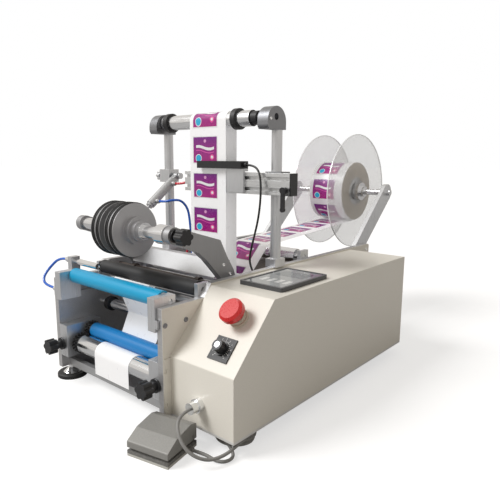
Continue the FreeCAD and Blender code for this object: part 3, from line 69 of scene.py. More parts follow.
# ---------------------------------------------------------------- camera
CAMERA_AT = Vector((0.6960, -0.8930, 0.4206))
FORWARD = Vector((-0.63716332, 0.75082743, -0.17401457))
RIGHT = Vector((0.76173294, 0.64786121, 0.00622749))
UPWARD = Vector((-0.11741307, 0.1285847, 0.98472339))
camera_data = bpy.data.cameras.new("camera")
camera_data.sensor_width = 36.0
camera_data.lens = 36.11
camera_data.clip_end = 60.0
camera = bpy.data.objects.new("camera", camera_data)
bpy.context.scene.collection.objects.link(camera)
camera_axes = Matrix((RIGHT, UPWARD, -FORWARD)).transposed()
camera.matrix_world = Matrix.Translation(CAMERA_AT) @ camera_axes.to_4x4()
bpy.context.scene.camera = camera


# ---------------------------------------------------------------- materials
class Paint:
    """A material made from object coordinates, which are metres in the frame."""

    def __init__(self, name, colour, rough, metal=0.0, grain=(80, 80, 80), shade=0.08, bump=0.08,
                 edge=0.0, coat=0.0):
        self.material = bpy.data.materials.new(name)
        self.material.use_nodes = True
        self.tree = self.material.node_tree
        self.bsdf = self.tree.nodes["Principled BSDF"]
        self.coords = self.add("ShaderNodeTexCoord").outputs["Object"]
        split = self.add("ShaderNodeSeparateXYZ")
        self.link(self.coords, split.inputs[0])
        self.x, self.y, self.z = split.outputs
        self.noise = self.noise_of(grain, 4.0)
        self.colour = self.varied(colour, shade)
        self.rough = self.spread(self.noise, max(rough - 0.07, 0.02), min(rough + 0.08, 1.0))
        self.metal = self.value(metal)
        if coat:
            self.bsdf.inputs["Coat Weight"].default_value = coat
            self.bsdf.inputs["Coat Roughness"].default_value = 0.08
        normal = self.add("ShaderNodeBump")
        normal.inputs["Strength"].default_value = bump
        normal.inputs["Distance"].default_value = 0.0004
        self.link(self.noise, normal.inputs["Height"])
        if edge:
            soft = self.add("ShaderNodeBevel")
            soft.samples = 4
            soft.inputs["Radius"].default_value = edge
            self.link(soft.outputs[0], normal.inputs["Normal"])
        self.link(normal.outputs[0], self.bsdf.inputs["Normal"])

    def add(self, kind):
        return self.tree.nodes.new(kind)

    def link(self, output, socket):
        self.tree.links.new(output, socket)

    def value(self, number):
        node = self.add("ShaderNodeValue")
        node.outputs[0].default_value = number
        return node.outputs[0]

    def math(self, operation, first, second=None):
        node = self.add("ShaderNodeMath")
        node.operation = operation
        for socket, item in zip(node.inputs, (first, second)):
            if item is None:
                continue
            if isinstance(item, (int, float)):
                socket.default_value = item
            else:
                self.link(item, socket)
        return node.outputs[0]

    def noise_of(self, grain, detail):
        mapping = self.add("ShaderNodeMapping")
        mapping.inputs["Scale"].default_value = grain
        self.link(self.coords, mapping.inputs["Vector"])
        noise = self.add("ShaderNodeTexNoise")
        noise.inputs["Scale"].default_value = 1.0
        noise.inputs["Detail"].default_value = detail
        self.link(mapping.outputs[0], noise.inputs["Vector"])
        return noise.outputs["Fac"]

    def spread(self, socket, low, high):
        node = self.add("ShaderNodeMapRange")
        node.inputs["From Min"].default_value = 0.3
        node.inputs["From Max"].default_value = 0.7
        node.inputs["To Min"].default_value = low
        node.inputs["To Max"].default_value = high
        self.link(socket, node.inputs["Value"])
        return node.outputs[0]

    def mixed(self, mask, first, second):
        node = self.add("ShaderNodeMix")
        node.data_type = "RGBA"
        for socket, item in ((node.inputs[0], mask), (node.inputs[6], first), (node.inputs[7], second)):
            if isinstance(item, tuple):
                socket.default_value = item if len(item) == 4 else item + (1.0,)
            elif isinstance(item, (int, float)):
                socket.default_value = item
            else:
                self.link(item, socket)
        return node.outputs[2]

    def blend_value(self, mask, first, second):
        gap = self.math("SUBTRACT", second, first)
        return self.math("ADD", first, self.math("MULTIPLY", mask, gap))

    def varied(self, colour, shade):
        dark = tuple(part * (1 - shade) for part in colour)
        light = tuple(min(part * (1 + shade), 1.0) for part in colour)
        return self.mixed(self.spread(self.noise, 0.0, 1.0), dark, light)

    def outside(self, axis, radius):
        """1 farther than radius from an axis along X through the point axis."""
        across = self.math("SUBTRACT", self.y, axis.y)
        up = self.math("SUBTRACT", self.z, axis.z)
        across = self.math("MULTIPLY", across, across)
        up = self.math("MULTIPLY", up, up)
        return self.math("GREATER_THAN", self.math("SQRT", self.math("ADD", across, up)), radius)

    def above(self, socket, limit):
        return self.math("GREATER_THAN", socket, limit)

    def between(self, socket, low, high):
        return self.math("MULTIPLY", self.above(socket, low), self.math("LESS_THAN", socket, high))

    def over(self, mask, colour, rough, metal=0.0, shade=0.08):
        """A second finish where the mask is 1."""
        self.colour = self.mixed(mask, self.colour, self.varied(colour, shade))
        self.rough = self.blend_value(mask, self.rough, rough)
        self.metal = self.blend_value(mask, self.metal, metal)
        return self

    def done(self):
        self.link(self.colour, self.bsdf.inputs["Base Color"])
        self.link(self.rough, self.bsdf.inputs["Roughness"])
        self.link(self.metal, self.bsdf.inputs["Metallic"])
        return self.material


SILVER = (0.62, 0.63, 0.65)
STEEL = (0.74, 0.75, 0.77)
BLACK = (0.012, 0.012, 0.014)
BLUE = (0.002, 0.35, 0.62)
CREAM = (0.80, 0.765, 0.69)
BRUSHED_X = (25, 900, 900)
BRUSHED_Y = (900, 25, 900)
BRUSHED_Z = (900, 900, 25)
SMOOTH = (200, 200, 200)
FINE = (500, 500, 500)

silver = Paint("silver_satin", SILVER, 0.34, 0.9, BRUSHED_Z, 0.06, 0.05, edge=0.0006).done()
dark_silver = Paint("dark_silver", (0.24, 0.245, 0.26), 0.38, 0.85, FINE, 0.08, 0.05, edge=0.0006).done()
rod_steel = Paint("rod_steel", STEEL, 0.16, 1.0, BRUSHED_X, 0.05, 0.04, edge=0.0004).done()
bright = Paint("chrome", (0.8, 0.81, 0.82), 0.1, 1.0, (40, 40, 40), 0.04, 0.02, edge=0.0004).done()
sheet = Paint("brushed_sheet", (0.47, 0.475, 0.485), 0.42, 0.75, BRUSHED_Y, 0.07, 0.05, edge=0.0005).done()
# Near-black brown: painted shade on the deck plate between the side plates, and the dark finish of the guide
# rods.
dark_sheet = Paint("dark_sheet", (0.045, 0.032, 0.026), 0.4, 0.2, (60, 300, 60), 0.2, 0.06,
                   edge=0.0005).done()
black_plastic = Paint("black_plastic", BLACK, 0.42, 0.0, FINE, 0.2, 0.1, edge=0.0005).done()
black_rubber = Paint("black_rubber", (0.014, 0.014, 0.015), 0.62, 0.0, (300, 300, 300), 0.2, 0.15).done()
red_plastic = Paint("red_plastic", (0.64, 0.010, 0.012), 0.3, 0.0, FINE, 0.02, 0.02, coat=0.25).done()
beige = Paint("beige_plastic", (0.62, 0.56, 0.46), 0.4, 0.0, SMOOTH, 0.05, 0.05).done()
arm_grey = Paint("arm_grey", (0.36, 0.36, 0.37), 0.42, 0.6, BRUSHED_Z, 0.07, 0.05, edge=0.0006).done()
grey_enamel = Paint("hammered_grey", (0.27, 0.265, 0.25), 0.48, 0.1, (420, 420, 420), 0.07, 0.3).done()
grey_cord = Paint("grey_cord", (0.25, 0.245, 0.235), 0.55, 0.0, (400, 400, 400), 0.08, 0.1).done()
black_cord = Paint("black_cord", (0.012, 0.012, 0.013), 0.45, 0.0, (400, 400, 400), 0.1, 0.1).done()
red_tubing = Paint("red_tubing", (0.70, 0.035, 0.06), 0.22, 0.0, SMOOTH, 0.05, 0.04, coat=0.3).done()
blue_tubing = Paint("blue_tubing", (0.015, 0.13, 0.62), 0.22, 0.0, SMOOTH, 0.05, 0.04, coat=0.3).done()


def film_finish():
    """Thin white backing film with a painted glow: a weak emission stands in for light coming through the
    film.
    """
    paint = Paint("label_film", (0.86, 0.86, 0.87), 0.32, 0.0, (60, 60, 60), 0.02, 0.03, coat=0.2)
    # Painted glow: the film emits a little light in place of light that passes through it.
    paint.bsdf.inputs["Emission Color"].default_value = (1.0, 0.98, 0.96, 1.0)
    paint.bsdf.inputs["Emission Strength"].default_value = 0.16
    return paint.done()


def clear_sheet():
    """Thin clear plastic of the reel discs, whiter at the rim."""
    paint = Paint("clear_disc", (0.88, 0.89, 0.90), 0.16, 0.0, (30, 30, 30), 0.01, 0.01, coat=0.3)
    low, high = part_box("reel_discs")
    rim = (high[2] - low[2]) / 2 - 0.0016
    edge = paint.outside(centre_of("reel_discs"), rim)
    paint.link(paint.blend_value(edge, paint.value(0.34), 0.8), paint.bsdf.inputs["Alpha"])
    return paint.done()


def plate_finish(outer_x):
    """Cream outer face on a silver sheet, dark towards the inside of the machine."""
    paint = Paint("plate_finish_" + ("right" if outer_x > 0 else "left"), (0.50, 0.50, 0.51), 0.4, 0.7,
                  (25, 700, 700), 0.08, 0.05, edge=0.0006)
    if outer_x > 0:
        mask = paint.above(paint.x, outer_x - 0.0006)
    else:
        mask = paint.math("LESS_THAN", paint.x, outer_x + 0.0006)
    return paint.over(mask, CREAM, 0.42, 0.0, 0.02).done()


def roller_finish(name, node, colour, rough, sleeve_radius, collar=None, metal=0.0, grain=(80, 300, 300)):
    """A sleeve of one colour on a steel shaft, with a black gear or collar left of the place collar."""
    paint = Paint(name, STEEL, 0.18, 1.0, BRUSHED_X, 0.06, 0.04)
    axis = centre_of(node)
    paint.over(paint.outside(axis, sleeve_radius), colour, rough, metal, 0.06)
    if collar is not None:
        black = paint.math("LESS_THAN", paint.x, place(collar, 0, 0).x)
        black = paint.math("MULTIPLY", black, paint.outside(axis, 0.0065))
        paint.over(black, BLACK, 0.5, 0.0, 0.2)
    return paint.done()


def ringed_roller():
    """The top roller: a silver sleeve with black rings."""
    paint = Paint("ringed_roller", STEEL, 0.2, 1.0, BRUSHED_X, 0.06, 0.04)
    axis = centre_of("top_roller")
    for first, last in ((-126.2, -114.8), (66.8, 78.2), (109.8, 125.2)):
        mask = paint.between(paint.x, place(first, 0, 0).x, place(last, 0, 0).x)
        paint.over(paint.math("MULTIPLY", mask, paint.outside(axis, 0.0070)), BLACK, 0.45, 0.0, 0.2)
    return paint.done()


def roll_finish():
    """Wound labels: film outside, beige turns of backing on the sides."""
    paint = Paint("label_roll", (0.58, 0.46, 0.30), 0.55, 0.0, (50, 900, 900), 0.12, 0.2)
    axis = centre_of("label_roll")
    return paint.over(paint.outside(axis, 0.0772), (0.86, 0.86, 0.87), 0.32, 0.0, 0.02).done()


def panel_finish():
    """Dark frame, light glossy membrane with a darker window and a row of pale patches of painted window
    reflection.
    """
    low, high = (Vector(corner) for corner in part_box("control_panel"))
    paint = Paint("panel_finish", (0.06, 0.062, 0.066), 0.35, 0.0, FINE, 0.1, 0.05, edge=0.0005)
    rim = 0.006

    def field(left, right, near, far):
        across = paint.between(paint.x, left, right)
        return paint.math("MULTIPLY", across, paint.between(paint.y, near, far))

    wide = high.x - low.x
    deep = high.y - low.y
    membrane = field(low.x + rim, high.x - rim, low.y + rim, high.y - rim)
    paint.over(membrane, (0.30, 0.315, 0.32), 0.05, 0.2, 0.12)
    window = field(low.x + 0.16 * wide, high.x - 0.16 * wide, low.y + 0.56 * deep, high.y - 0.16 * deep)
    paint.over(window, (0.16, 0.18, 0.19), 0.04, 0.1, 0.1)
    # The key fields are pale patches of painted reflection: window highlights on the glossy membrane.
    for share in (0.2, 0.38, 0.56, 0.74):
        left = low.x + share * wide
        key = field(left, left + 0.1 * wide, low.y + 0.22 * deep, low.y + 0.38 * deep)
        paint.over(key, (0.62, 0.63, 0.62), 0.08, 0.0, 0.05)
    return paint.done()


def wheel_finish():
    """The press wheel: grey drum at the left, silver disc at the right."""
    paint = Paint("wheel_finish", (0.30, 0.30, 0.305), 0.42, 0.5, BRUSHED_X, 0.08, 0.05, edge=0.0006)
    right = paint.above(paint.x, place(16, 0, 0).x)
    return paint.over(right, (0.46, 0.46, 0.475), 0.34, 0.8, 0.06).done()


def rail_finish():
    """Light silver profile with a black cap at its right end."""
    paint = Paint("rail_finish", (0.70, 0.71, 0.72), 0.32, 0.85, BRUSHED_X, 0.05, 0.04, edge=0.0005)
    return paint.over(paint.above(paint.x, place(204.8, 0, 0).x), BLACK, 0.4, 0.0, 0.2).done()


def housing_finish():
    """Cream enamel with a light bare strip along the bottom edge."""
    paint = Paint("housing_finish", CREAM, 0.42, 0.0, (700, 700, 700), 0.02, 0.12, edge=0.0012, coat=0.15)
    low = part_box("housing_cover")[0][2]
    strip = paint.math("LESS_THAN", paint.z, low + 0.004)
    return paint.over(strip, (0.78, 0.77, 0.75), 0.35, 0.2, 0.03).done()


def knob_finish():
    """Black dial knob with a silver cap."""
    paint = Paint("knob_finish", BLACK, 0.35, 0.0, FINE, 0.2, 0.05)
    node = nodes_of_cad["speed_knob"]
    top = max(vertex.co.dot(SLOPE_NORMAL) for vertex in node.data.vertices)
    depth = paint.math("ADD", paint.math("MULTIPLY", paint.y, SLOPE_NORMAL.y),
                       paint.math("MULTIPLY", paint.z, SLOPE_NORMAL.z))
    middle = centre_of("speed_knob")
    across = paint.math("SUBTRACT", paint.x, middle.x)
    rise = paint.math("ADD", paint.math("MULTIPLY", paint.y, SLOPE_UP.y),
                      paint.math("MULTIPLY", paint.z, SLOPE_UP.z))
    rise = paint.math("SUBTRACT", rise, middle.dot(SLOPE_UP))
    square = paint.math("ADD", paint.math("MULTIPLY", across, across), paint.math("MULTIPLY", rise, rise))
    cap = paint.math("LESS_THAN", square, 0.0048 ** 2)
    cap = paint.math("MULTIPLY", cap, paint.above(depth, top - 0.0006))
    return paint.over(cap, (0.55, 0.55, 0.57), 0.24, 1.0, 0.04).done()


def foot_finish():
    """Cast pedal with a light strip round its lower edge."""
    paint = Paint("pedal_base", (0.20, 0.195, 0.185), 0.45, 0.2, (260, 260, 260), 0.25, 0.5)
    strip = paint.between(paint.z, 0.0, 0.004)
    return paint.over(strip, (0.55, 0.54, 0.5), 0.5, 0.0, 0.05).done()


clear = clear_sheet()
FINISHES = {
    silver: ("gantry_posts", "bearing_blocks", "slide_blocks", "reel_arms", "sensor_bracket", "nozzle_clamp",
             "cylinder_rod", "cylinder_clamp"),
    dark_silver: ("top_blocks", "rail_clamp"),
    arm_grey: ("press_arms",),
    rod_steel: ("arm_shafts", "reel_shaft", "estop_plunger"),
    bright: ("foot_studs", "line_fittings", "air_nozzle"),
    sheet: ("cross_brace", "cylinder_barrel", "peel_plate", "base_plate"),
    # The deck plate's dark brown is painted shade between the side plates; the guide rods share the dark
    # finish.
    dark_sheet: ("deck_plate", "guide_rods"),
    black_plastic: ("arm_knob", "rail_lever", "fork_sensor", "star_knob_left", "star_knob_right",
                    "drive_motor", "dial_plate"),
    black_rubber: ("foot_pads", "wheel_rings"),
    red_plastic: ("estop_head",),
    beige: ("estop_collar",),
    grey_enamel: ("pedal_treadle",),
    foot_finish(): ("pedal_base",),
    film_finish(): ("label_web",),
    clear: ("reel_discs",),
    grey_cord: ("pedal_cable", "pedal_cable_coil"),
    black_cord: ("sensor_cable",),
    red_tubing: ("red_tube",),
    blue_tubing: ("blue_tube", "nozzle_hose"),
    plate_finish(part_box("side_plate_right")[1][0]): ("side_plate_right",),
    plate_finish(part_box("side_plate_left")[0][0]): ("side_plate_left",),
    housing_finish(): ("housing_cover",),
    panel_finish(): ("control_panel",),
    knob_finish(): ("speed_knob",),
    wheel_finish(): ("wheel_discs",),
    rail_finish(): ("sensor_rail",),
    ringed_roller(): ("top_roller",),
    roll_finish(): ("label_roll",),
    roller_finish("upper_sleeve", "upper_roller", BLUE, 0.34, 0.011): ("upper_roller",),
    roller_finish("nip_sleeve", "nip_roller", (0.003, 0.20, 0.52), 0.36, 0.0085, -105): ("nip_roller",),
    roller_finish("black_sleeve", "black_roller", (0.02, 0.02, 0.021), 0.6, 0.009): ("black_roller",),
    roller_finish("traction_steel", "traction_roller", STEEL, 0.16, 0.012, -105, 1.0): ("traction_roller",),
    roller_finish("guide_steel", "inner_guide_roller", STEEL, 0.2, 0.009, -111, 1.0): ("inner_guide_roller",),
    roller_finish("rear_steel", "rear_guide_roller", STEEL, 0.2, 0.009, -111, 1.0): ("rear_guide_roller",),
    roller_finish("low_steel", "low_guide_roller", STEEL, 0.2, 0.009, -111, 1.0): ("low_guide_roller",),
}
for material, names in FINISHES.items():
    for name in names:
        node = nodes_of_cad[name]
        if not node.data.materials:
            node.data.materials.append(material)
        for slot in node.material_slots:
            slot.material = material


# ---------------------------------------------------------------- mesh helpers
def add_mesh(name, points, faces, material, body, smooth=True):
    """A piece from points and faces, on a body if one is named."""
    mesh = bpy.data.meshes.new(name)
    mesh.from_pydata([tuple(point) for point in points], [], faces)
    mesh.validate()
    mesh.update()
    for face in mesh.polygons:
        face.use_smooth = smooth
    mesh.materials.append(material)
    piece = bpy.data.objects.new(name, mesh)
    bpy.context.scene.collection.objects.link(piece)
    if body:
        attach(piece, body)
    return piece


def turned(profile, centre, direction, count, closed=False):
    """Points and faces of a profile of (radius, height) pairs turned round an axis."""
    direction = Vector(direction).normalized()
    side = direction.orthogonal().normalized()
    across = direction.cross(side)
    points = []
    for step in range(count):
        angle = 2 * math.pi * step / count
        out = side * math.cos(angle) + across * math.sin(angle)
        points += [centre + out * radius + direction * height for radius, height in profile]
    size = len(profile)
    last = size if closed else size - 1
    faces = []
    for step in range(count):
        here = step * size
        there = (step + 1) % count * size
        for row in range(last):
            below = (row + 1) % size
            faces.append((here + row, there + row, there + below, here + below))
    return points, faces


def joined(parts):
    """Several pairs of points and faces as one pair."""
    points = []
    faces = []
    for more_points, more_faces in parts:
        start = len(points)
        points += more_points
        faces += [tuple(start + index for index in face) for face in more_faces]
    return points, faces


def screw(centre, direction, radius=3.0, height=2.4):
    """A socket-head screw, sizes in millimetres."""
    shape = [(0.02, 0.35), (0.5, 0.35), (0.55, 0.95), (0.82, 1.0), (0.97, 0.8), (1.0, 0.0)]
    profile = [(share * radius * MM, rise * height * MM) for share, rise in shape]
    return turned(profile, centre, direction, 20)


# ---------------------------------------------------------------- cords
# Millimetres: two columns of turns of the pedal cable beside the foot pedal.
COIL = (248.0, 52.0)
CABLE_THICK = 5.0
COIL_OUTER = 30.0
COIL_INNER = COIL_OUTER - CABLE_THICK
COIL_FLOOR = CABLE_THICK / 2
OUTER_TURNS = 3
COIL_TURNS = 6.6
TURN_POINTS = 16


def coil_points():
    """Turns from the outer column, top to bottom, to the inner one, bottom to top."""
    widen = 1 / math.cos(math.pi / TURN_POINTS)
    points = []
    for step in range(1, int(TURN_POINTS * COIL_TURNS)):
        turns = step / TURN_POINTS
        share = turns % 1.0
        shift = math.sqrt(1 - (1 - share) ** 2)
        rise = CABLE_THICK * math.sqrt(1 - (1 - shift) ** 2)
        if turns < OUTER_TURNS:
            radius = COIL_OUTER
            height = COIL_FLOOR + CABLE_THICK * (OUTER_TURNS - turns)
        elif turns < OUTER_TURNS + 1:
            radius = COIL_OUTER - CABLE_THICK * shift
            height = COIL_FLOOR
        else:
            radius = COIL_INNER
            height = COIL_FLOOR + CABLE_THICK * (int(turns) - OUTER_TURNS - 1) + rise
        angle = 2 * math.pi * turns
        points.append((COIL[0] + radius * widen * math.cos(angle),
                       COIL[1] + radius * widen * math.sin(angle), height))
    return points


PEDAL_CABLE = [
    (222, -12, 64), (222, -38, 64), (234, -56, 52), (256, -60, 30), (276, -42, 14),
    (286, -14, 13), (284, 18, 15.5), (281.5, 40, 17),
] + coil_points() + [
    (224, 42, 18.6), (228.2, 32.2, 20), (236, 23.5, 20.4), (247, 17.5, 19), (260, 15, 14.5),
    (273, 13.5, 8.5), (284, 8, 3.4), (288, -3, 2.8), (284, -14, 3), (274, -19.5, 3.8),
    (262, -19.5, 4.7), (251.02, -20.08, 5), (228.52, -24.87, 5),
]
SENSOR_CABLE = [
    (105, 238.55, 414), (125, 238.55, 414), (143, 234.55, 400), (149, 230.55, 365), (144, 230.55, 319),
    (129, 233.55, 275), (116, 238, 242.5), (117, 239, 222.5), (129, 240, 204.5), (143, 240, 204.5),
]
RED_TUBE = [
    (-110.5, 250.5, 372), (-91, 250.5, 372), (-73, 264.5, 378), (-55, 279.5, 381), (-37, 286.5, 368),
    (-29, 287.5, 342), (-37, 283.5, 310), (-59, 275.5, 282), (-78, 267.5, 254), (-91, 265, 222),
    (-90, 262, 188), (-90, 262, 155),
]
BLUE_TUBE = [
    (-109, 204.8, 336.3), (-89, 204.8, 336.3), (-75, 216.8, 340.3), (-71, 234.8, 338.3),
    (-71, 252.8, 320.3), (-72, 259, 290.3), (-71, 263, 238.3), (-70, 262, 192), (-70, 262, 155),
]
NOZZLE_HOSE = [
    (-176, 27, 228), (-206, 27, 228), (-225.4, 14, 206), (-223.4, -1, 190), (-212.4, -5.5, 179),
    (-184, -5, 176), (-163, -5, 176),
]


def nurbs(name, route, diameter, material):
    """A round cord on one smooth spline through given points of the machine."""
    data = bpy.data.curves.new(name, "CURVE")
    data.dimensions = "3D"
    data.bevel_depth = diameter * MM / 2
    data.bevel_resolution = 4
    data.resolution_u = 8
    data.use_fill_caps = True
    spline = data.splines.new("NURBS")
    spline.points.add(len(route) - 1)
    for point, spot in zip(spline.points, route):
        point.co = (*place(*spot), 1.0)
    spline.order_u = 3
    spline.use_endpoint_u = True
    data.materials.append(material)
    piece = bpy.data.objects.new(name, data)
    bpy.context.scene.collection.objects.link(piece)
    return piece


def held_cord(name, route, diameter, material, node, body=None):
    """A cord held at both ends, as a mesh."""
    curve = nurbs(name + "_route", route, diameter, material)
    bpy.context.view_layer.update()
    mesh = bpy.data.meshes.new_from_object(curve.evaluated_get(bpy.context.evaluated_depsgraph_get()))
    bpy.data.objects.remove(curve)
    piece = bpy.data.objects.new(name, mesh)
    bpy.context.scene.collection.objects.link(piece)
    for face in mesh.polygons:
        face.use_smooth = True
    if body:
        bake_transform(piece)
    else:
        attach(piece, "frame")
    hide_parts(node)
    return piece


SENSOR_THICK = 4.0
AIR_LINE_THICK = 5.2
pedal_lead = nurbs("pedal_lead", PEDAL_CABLE, CABLE_THICK, grey_cord)
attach(pedal_lead, "frame")
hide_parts("pedal_cable", "pedal_cable_coil")
held_cord("sensor_lead", SENSOR_CABLE, SENSOR_THICK, black_cord, "sensor_cable", "rail_carriage")
held_cord("red_air_line", RED_TUBE, AIR_LINE_THICK, red_tubing, "red_tube", "air_barrel")
held_cord("blue_air_line", BLUE_TUBE, AIR_LINE_THICK, blue_tubing, "blue_tube", "air_barrel")
held_cord("nozzle_air_hose", NOZZLE_HOSE, AIR_LINE_THICK, blue_tubing, "nozzle_hose")


# ---------------------------------------------------------------- O-rings of the press wheel
def press_rings():
    """Round rubber rings in the grooves of the press wheel."""
    node = nodes_of_cad["wheel_rings"]
    low, high = (Vector(corner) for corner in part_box("wheel_rings"))
    axis = (low + high) / 2
    outer = (high.z - low.z) / 2
    spots = sorted(vertex.co.x for vertex in node.data.vertices)
    groups = [[spots[0]]]
    for spot in spots:
        if spot - groups[-1][-1] > 0.003:
            groups.append([])
        groups[-1].append(spot)
    thick = 0.0016
    parts = []
    for group in groups:
        middle = (group[0] + group[-1]) / 2
        ring = [(outer - thick + thick * math.cos(step * math.pi / 6), thick * math.sin(step * math.pi / 6))
                for step in range(12)]
        parts.append(turned(ring, Vector((middle, axis.y, axis.z)), (1, 0, 0), 64, closed=True))
    piece = add_mesh("press_wheel_rings", *joined(parts), black_rubber, "press_wheel")
    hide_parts("wheel_rings")


press_rings()


# ---------------------------------------------------------------- labels
def label_finish():
    """Generic label: purple to magenta field, white border, wave, dots and lines."""
    paint = Paint("label_print", (0.20, 0.008, 0.19), 0.3, 0.0, (60, 60, 60), 0.05, 0.02, coat=0.25)
    uv = paint.add("ShaderNodeUVMap")
    uv.uv_map = "print"
    split = paint.add("ShaderNodeSeparateXYZ")
    paint.link(uv.outputs[0], split.inputs[0])
    across, up = split.outputs[0], split.outputs[1]
    paint.colour = paint.mixed(up, (0.40, 0.006, 0.20), (0.17, 0.008, 0.22))
    white = (0.86, 0.86, 0.87)

    def disc(u, v, radius):
        right = paint.math("SUBTRACT", across, u)
        high = paint.math("SUBTRACT", up, v)
        high = paint.math("MULTIPLY", high, 0.84)
        square = paint.math("ADD", paint.math("MULTIPLY", right, right), paint.math("MULTIPLY", high, high))
        return paint.math("LESS_THAN", square, radius * radius)

    def band(height, half, swing):
        wave = paint.math("MULTIPLY", paint.math("SINE", paint.math("MULTIPLY", across, 7.0)), swing)
        away = paint.math("ABSOLUTE", paint.math("SUBTRACT", paint.math("SUBTRACT", up, wave), height))
        side = paint.between(across, 0.14, 0.86)
        return paint.math("MULTIPLY", side, paint.math("LESS_THAN", away, half))

    for mask, colour in (
        (band(0.58, 0.05, 0.05), white),
        (band(0.44, 0.014, 0.05), (0.75, 0.10, 0.42)),
        (disc(0.24, 0.20, 0.125), white),
        (disc(0.24, 0.20, 0.105), (0.02, 0.45, 0.72)),
        (disc(0.78, 0.24, 0.085), (0.78, 0.08, 0.34)),
        (disc(0.78, 0.24, 0.045), white),
        (disc(0.5, 0.82, 0.05), (0.75, 0.35, 0.62)),
    ):
        paint.colour = paint.mixed(mask, paint.colour, colour)
    inside = paint.math("MULTIPLY", paint.between(across, 0.03, 0.97), paint.between(up, 0.035, 0.965))
    paint.colour = paint.mixed(inside, white, paint.colour)
    return paint.done()


# Rollers that the web meets: depth, height and radius in millimetres, and 1 where it turns to the left.
WEB = ((760, 342, 78, -1), (380, 224, 15, 1), (284.6, 174, 15, -1), (254, 500, 15, 1), (228.4, 150, 10, -1))
WEB_HALF = 0.45
LABEL_LEFT, LABEL_RIGHT = -38.0, 32.0
LABEL_LONG, LABEL_PITCH = 57.0, 69.5
LABEL_LIFT = 0.28
FIRST_LABEL_TOP = 468
ROLL = (760, 342, 78.35)
ROLL_LABELS = 7


def web_line():
    """Centre line of the web as points every few millimetres, with the heading at each."""
    runs = []
    for first, second in zip(WEB, WEB[1:]):
        gap = Vector((second[0] - first[0], second[1] - first[1]))
        first_r = (first[2] + WEB_HALF) * first[3]
        second_r = (second[2] + WEB_HALF) * second[3]
        heading = math.atan2(gap.y, gap.x) - math.asin((second_r - first_r) / gap.length)
        left = Vector((-math.sin(heading), math.cos(heading)))
        runs.append((Vector(first[:2]) - left * first_r, Vector(second[:2]) - left * second_r, heading))
    line = []
    for index, (start, end, heading) in enumerate(runs):
        steps = max(int((end - start).length / 3), 1)
        line += [(start.lerp(end, step / steps), heading) for step in range(steps + 1)]
        if index + 1 == len(runs):
            break
        circle = WEB[index + 1]
        turn_by = (runs[index + 1][2] - heading) % (2 * math.pi)
        if circle[3] < 0:
            turn_by -= 2 * math.pi
        radius = (circle[2] + WEB_HALF) * circle[3]
        steps = max(int(abs(turn_by * radius) / 2), 2)
        for step in range(1, steps):
            angle = heading + turn_by * step / steps
            left = Vector((-math.sin(angle), math.cos(angle)))
            line.append((Vector(circle[:2]) - left * radius, angle))
    return line


def printed_strip(spots, uvs):
    """Points and faces of one label that follows the spots, given as (y, z) places."""
    points = []
    for spot in spots:
        points += [place(LABEL_LEFT, spot.x, spot.y), place(LABEL_RIGHT, spot.x, spot.y)]
    faces = [(row * 2, row * 2 + 1, row * 2 + 3, row * 2 + 2) for row in range(len(spots) - 1)]
    for row in range(len(spots)):
        share = 1 - row / (len(spots) - 1)
        uvs += [(0.0, share), (1.0, share)]
    return points, faces


def add_labels(name, strips, uvs, body):
    piece = add_mesh(name, *joined(strips), label_print, None)
    layer = piece.data.uv_layers.new(name="print")
    for loop in piece.data.loops:
        layer.data[loop.index].uv = uvs[loop.vertex_index]
    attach(piece, body)
    return piece


def web_labels():
    """Labels on the still web, from the reel to the press, at one pitch."""
    line = web_line()
    travelled = [0.0]
    for (before, _), (after, _) in zip(line, line[1:]):
        travelled.append(travelled[-1] + (after - before).length)
    front = next(index for index in range(len(line) - 1, 0, -1) if line[index][0].y > FIRST_LABEL_TOP)
    anchor = travelled[front]
    strips = []
    uvs = []
    first = -int(anchor / LABEL_PITCH)
    for number in range(first, 4):
        start = anchor + number * LABEL_PITCH
        spots = []
        for (spot, heading), far in zip(line, travelled):
            if start <= far <= start + LABEL_LONG:
                left = Vector((-math.sin(heading), math.cos(heading)))
                spots.append(spot - left * LABEL_LIFT)
        if len(spots) > 2:
            strips.append(printed_strip(spots, uvs))
    return add_labels("web_labels", strips, uvs, "frame")


def roll_labels():
    """Labels round the outermost turn of the label roll."""
    strips = []
    uvs = []
    depth, height, radius = ROLL
    steps = 14
    span = LABEL_LONG / radius
    for number in range(ROLL_LABELS):
        start = 2 * math.pi * number / ROLL_LABELS
        turns = [start + span * step / steps for step in range(steps + 1)]
        spots = [Vector((depth + radius * math.cos(turn), height + radius * math.sin(turn)))
                 for turn in turns]
        strips.append(printed_strip(spots, uvs))
    return add_labels("roll_labels", strips, uvs, "reel")


label_print = label_finish()
web_labels()
roll_labels()


